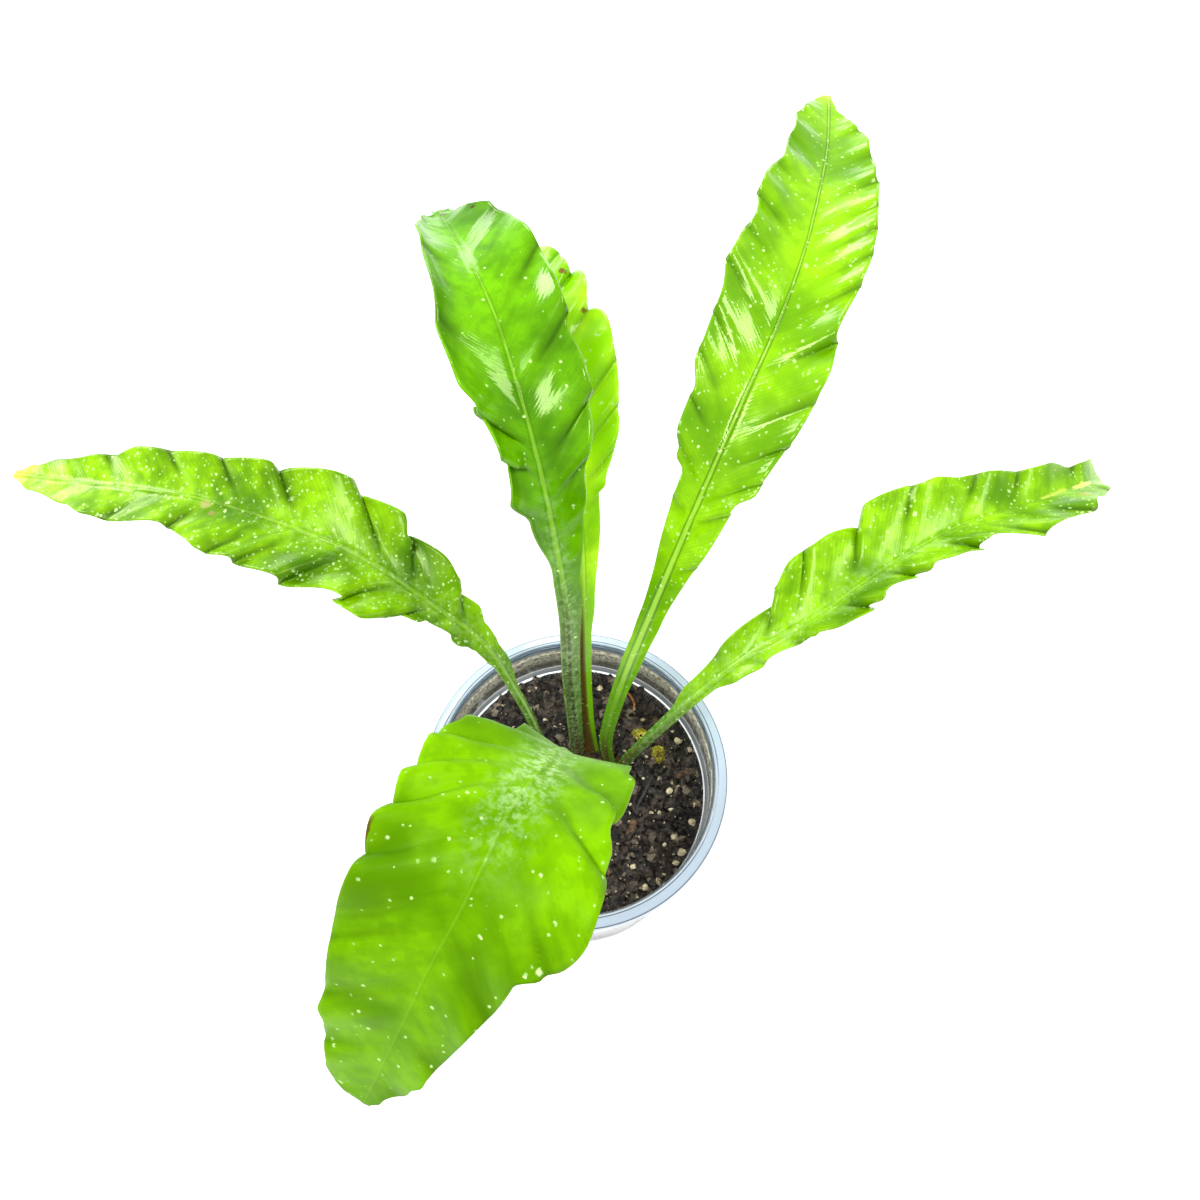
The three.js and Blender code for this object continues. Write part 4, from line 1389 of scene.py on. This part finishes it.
def makeMoss(material, settings):
    rng = random.Random(settings["seed"])
    for name in ("moss_tuft_1", "moss_tuft_2"):
        centre, size = boxOf(name)
        placements = []
        for _ in range(settings["leaves"]):
            angle = rng.uniform(0, 2 * math.pi)
            out = math.sqrt(rng.random())
            x = centre.x + settings["reach"] * size.x * out * math.cos(angle)
            y = centre.y + settings["reach"] * size.y * out * math.sin(angle)
            dome = settings["dome"] * size.z * (1 - out * out) * rng.uniform(0.2, 1)
            z = centre.z - settings["foot"] * size.z + dome
            turn = Matrix.Rotation(angle + rng.uniform(-1, 1), 4, "Z")
            tilt = Matrix.Rotation(rng.uniform(-1.2, 0.1), 4, "Y")
            scale = Matrix.Scale(settings["leafLength"] * mm * rng.uniform(0.5, 1.1), 4)
            placements.append((0, Matrix.Translation((x, y, z)) @ turn @ tilt @ scale))
        tuft = joinCopies(name.replace("moss_tuft_", "mossTuft"), [spikePrototype()], placements)
        finishPiece(tuft, [material], "moss", name)


strandSkin = {
    "grain": (650, 4.0, 0.65),
    "spread": (0.4, 0.6),
    "roughness": 0.6,
    "relief": (0.7, 0.0003),
    "steps": 44,
    "sides": 12,
}

strands = {
    "bark_fibre": {
        "radius": 0.45, "slot": "fibre", "pale": (190, 124, 66), "dark": (110, 62, 28),
        "points": [(17.5, 36.8, 0.8), (19.3, 34.6, 2.6), (20.8, 31.6, 2.4), (20.2, 28.6, 0.8)],
    },
    "dark_root": {
        "radius": 0.7, "slot": "root", "pale": (52, 48, 46), "dark": (16, 15, 15),
        "points": [(27.4, 5.4, 1.2), (25.4, 1.2, 1.9), (22.6, -4.2, 1.8), (20.4, -8.6, 1.1)],
    },
}


def makeStrand(name, look):
    material = makeGrainMaterial(name + "Skin", look)
    points = [Vector((x, y, mixHeight(x, y) + up)) for x, y, up in look["points"]]
    steps = look["steps"]
    deselectAll()
    bpy.ops.mesh.primitive_cylinder_add(vertices=look["sides"], radius=1, depth=steps, end_fill_type="TRIFAN")
    strand = startPiece(name.replace("_", ""))
    cutUprightEdges(strand, 1, steps - 1)
    for vertex in strand.data.vertices:
        share = vertex.co.z / steps + 0.5
        turn = share * (len(points) - 1)
        here = curvePoint(points, turn)
        before = curvePoint(points, max(turn - 0.05, 0))
        ahead = curvePoint(points, min(turn + 0.05, len(points) - 1)) - before
        side = ahead.cross(Vector((0, 0, 1))).normalized()
        up = side.cross(ahead).normalized()
        knot = 1 + 0.3 * noise.noise(Vector((share * 16, 0, look["radius"] * 9)))
        girth = look["radius"] * knot * (1 - 0.45 * abs(2 * share - 1) ** 3)
        vertex.co = (here + (side * vertex.co.x + up * vertex.co.y) * girth) * mm
    faceOutward(strand)
    bpy.ops.object.shade_smooth()
    finishPiece(strand, [material], look["slot"], name)


# Rhizome: a short knob under narrow brown scales

rhizomeShape = {
    "centre": (5.6, 5.9),
    "profile": [
        (5, 70), (9.5, 78), (10.5, 83.5), (10, 86.5), (8.4, 88.9), (6.1, 90.2), (3, 90.6), (0.6, 90.7),
    ],
    "steps": 36,
    "scales": 260,
    "scaleLength": 4.2,
    "scaleRadii": (10.2, 6.8),  # at the foot, and how much less at the top
    "scaleHeights": (84.6, 5.4),  # at the foot, and how much more at the top
    "seed": 31,
}

rhizomeLook = {
    "grain": (260, 4.0, 0.6),
    "spread": (0.38, 0.62),
    "dark": (34, 24, 18),
    "pale": (104, 74, 44),
    "roughness": 0.65,
    "relief": (0.6, 0.0005),
}


def scalePrototype():  # one papery scale rising along +Z and leaning out along +X
    outline = [(0.0, 0.1), (0.3, 0.2), (0.65, 0.13), (1.0, 0.0)]
    front, back = [], []
    for height, half in outline:
        lean = 0.28 * height ** 2
        for side in (-half, half):
            front.append(Vector((lean + 0.02, side, height)))
            back.append(Vector((lean - 0.02, side, height)))
    points = front + back
    count = len(front)
    faces = []
    for i in range(0, count - 2, 2):
        faces.append((i, i + 1, i + 3, i + 2))
        faces.append((count + i, count + i + 2, count + i + 3, count + i + 1))
        faces.append((i, i + 2, count + i + 2, count + i))
        faces.append((i + 1, count + i + 1, count + i + 3, i + 3))
    faces.append((0, count, count + 1, 1))
    return points, faces


def makeRhizome(shape, material):
    centre = Vector((*shape["centre"], 0)) * mm
    knob = lathe("rhizomeKnob", shape["profile"], shape["steps"], centre)
    bpy.ops.object.mode_set(mode="EDIT")
    bpy.ops.mesh.select_all(action="SELECT")
    bpy.ops.mesh.subdivide(number_cuts=1)
    bpy.ops.object.mode_set(mode="OBJECT")
    for vertex in knob.data.vertices:
        out = vertex.co - centre
        out.z = 0
        vertex.co += out.normalized() * noise.noise(vertex.co * 420) * 0.6 * mm
    pick(knob)
    bpy.ops.object.shade_smooth()
    finishPiece(knob, [material], "rhizome", "rhizome")
    rng = random.Random(shape["seed"])
    footRadius, radiusLoss = shape["scaleRadii"]
    footHeight, heightGain = shape["scaleHeights"]
    placements = []
    for _ in range(shape["scales"]):
        angle = rng.uniform(0, 2 * math.pi)
        level = rng.random()
        radius = footRadius - radiusLoss * level ** 1.6
        height = footHeight + heightGain * level
        place = centre + Vector((radius * math.cos(angle), radius * math.sin(angle), height)) * mm
        turn = Matrix.Rotation(angle + rng.uniform(-0.5, 0.5), 4, "Z")
        turn = turn @ Matrix.Rotation(rng.uniform(-0.1, 0.7), 4, "Y")
        size = shape["scaleLength"] * rng.uniform(0.5, 1.05) * mm
        placements.append((0, Matrix.Translation(place) @ turn @ Matrix.Scale(size, 4)))
    scales = joinCopies("rhizomeScales", [scalePrototype()], placements)
    finishPiece(scales, [material], "rhizome")


print("studio")
makeStudio(studio)
print("pot")
lipPlastic = makePlasticMaterial("clearLip", plasticLook, 1.45)
wallPlastic = makePlasticMaterial("clearWall", plasticLook, 1.3)
makePot(potShape, [lipPlastic, wallPlastic])
print("potting mix")
soil = makeMixMaterial("pottingMix", mixLook)
makeMix(mixShape, soil)
scatter("mixCrumbs", crumbs, soil, "potting_mix")
perlite = makeGrainMaterial("perliteGlass", perliteLook)
scatter("paleBits", paleBits, perlite, "perlite")
bark = makeGrainMaterial("barkWood", barkLook)
scatter("barkNeedles", needles, bark, "bark")
print("rhizome")
makeRhizome(rhizomeShape, makeGrainMaterial("brownScale", rhizomeLook))
print("grains and scraps")
makePerlite(perliteShape, perlite)
makeBark(barkChips, bark)
makeMoss(makeGrainMaterial("mossLeaf", mossLook), moss)
for strandName, strandLook in strands.items():
    makeStrand(strandName, {**strandSkin, **strandLook})
underside = makeUnderMaterial(bladeShape["slant"])
for frondName, frondLook in fronds.items():
    print(frondName)
    upper = makeUpperMaterial(frondName + "Upper", frondLook, frondFinish, bladeShape["slant"])
    makeFrond(frondName, frondLook, bladeShape, [upper, underside])
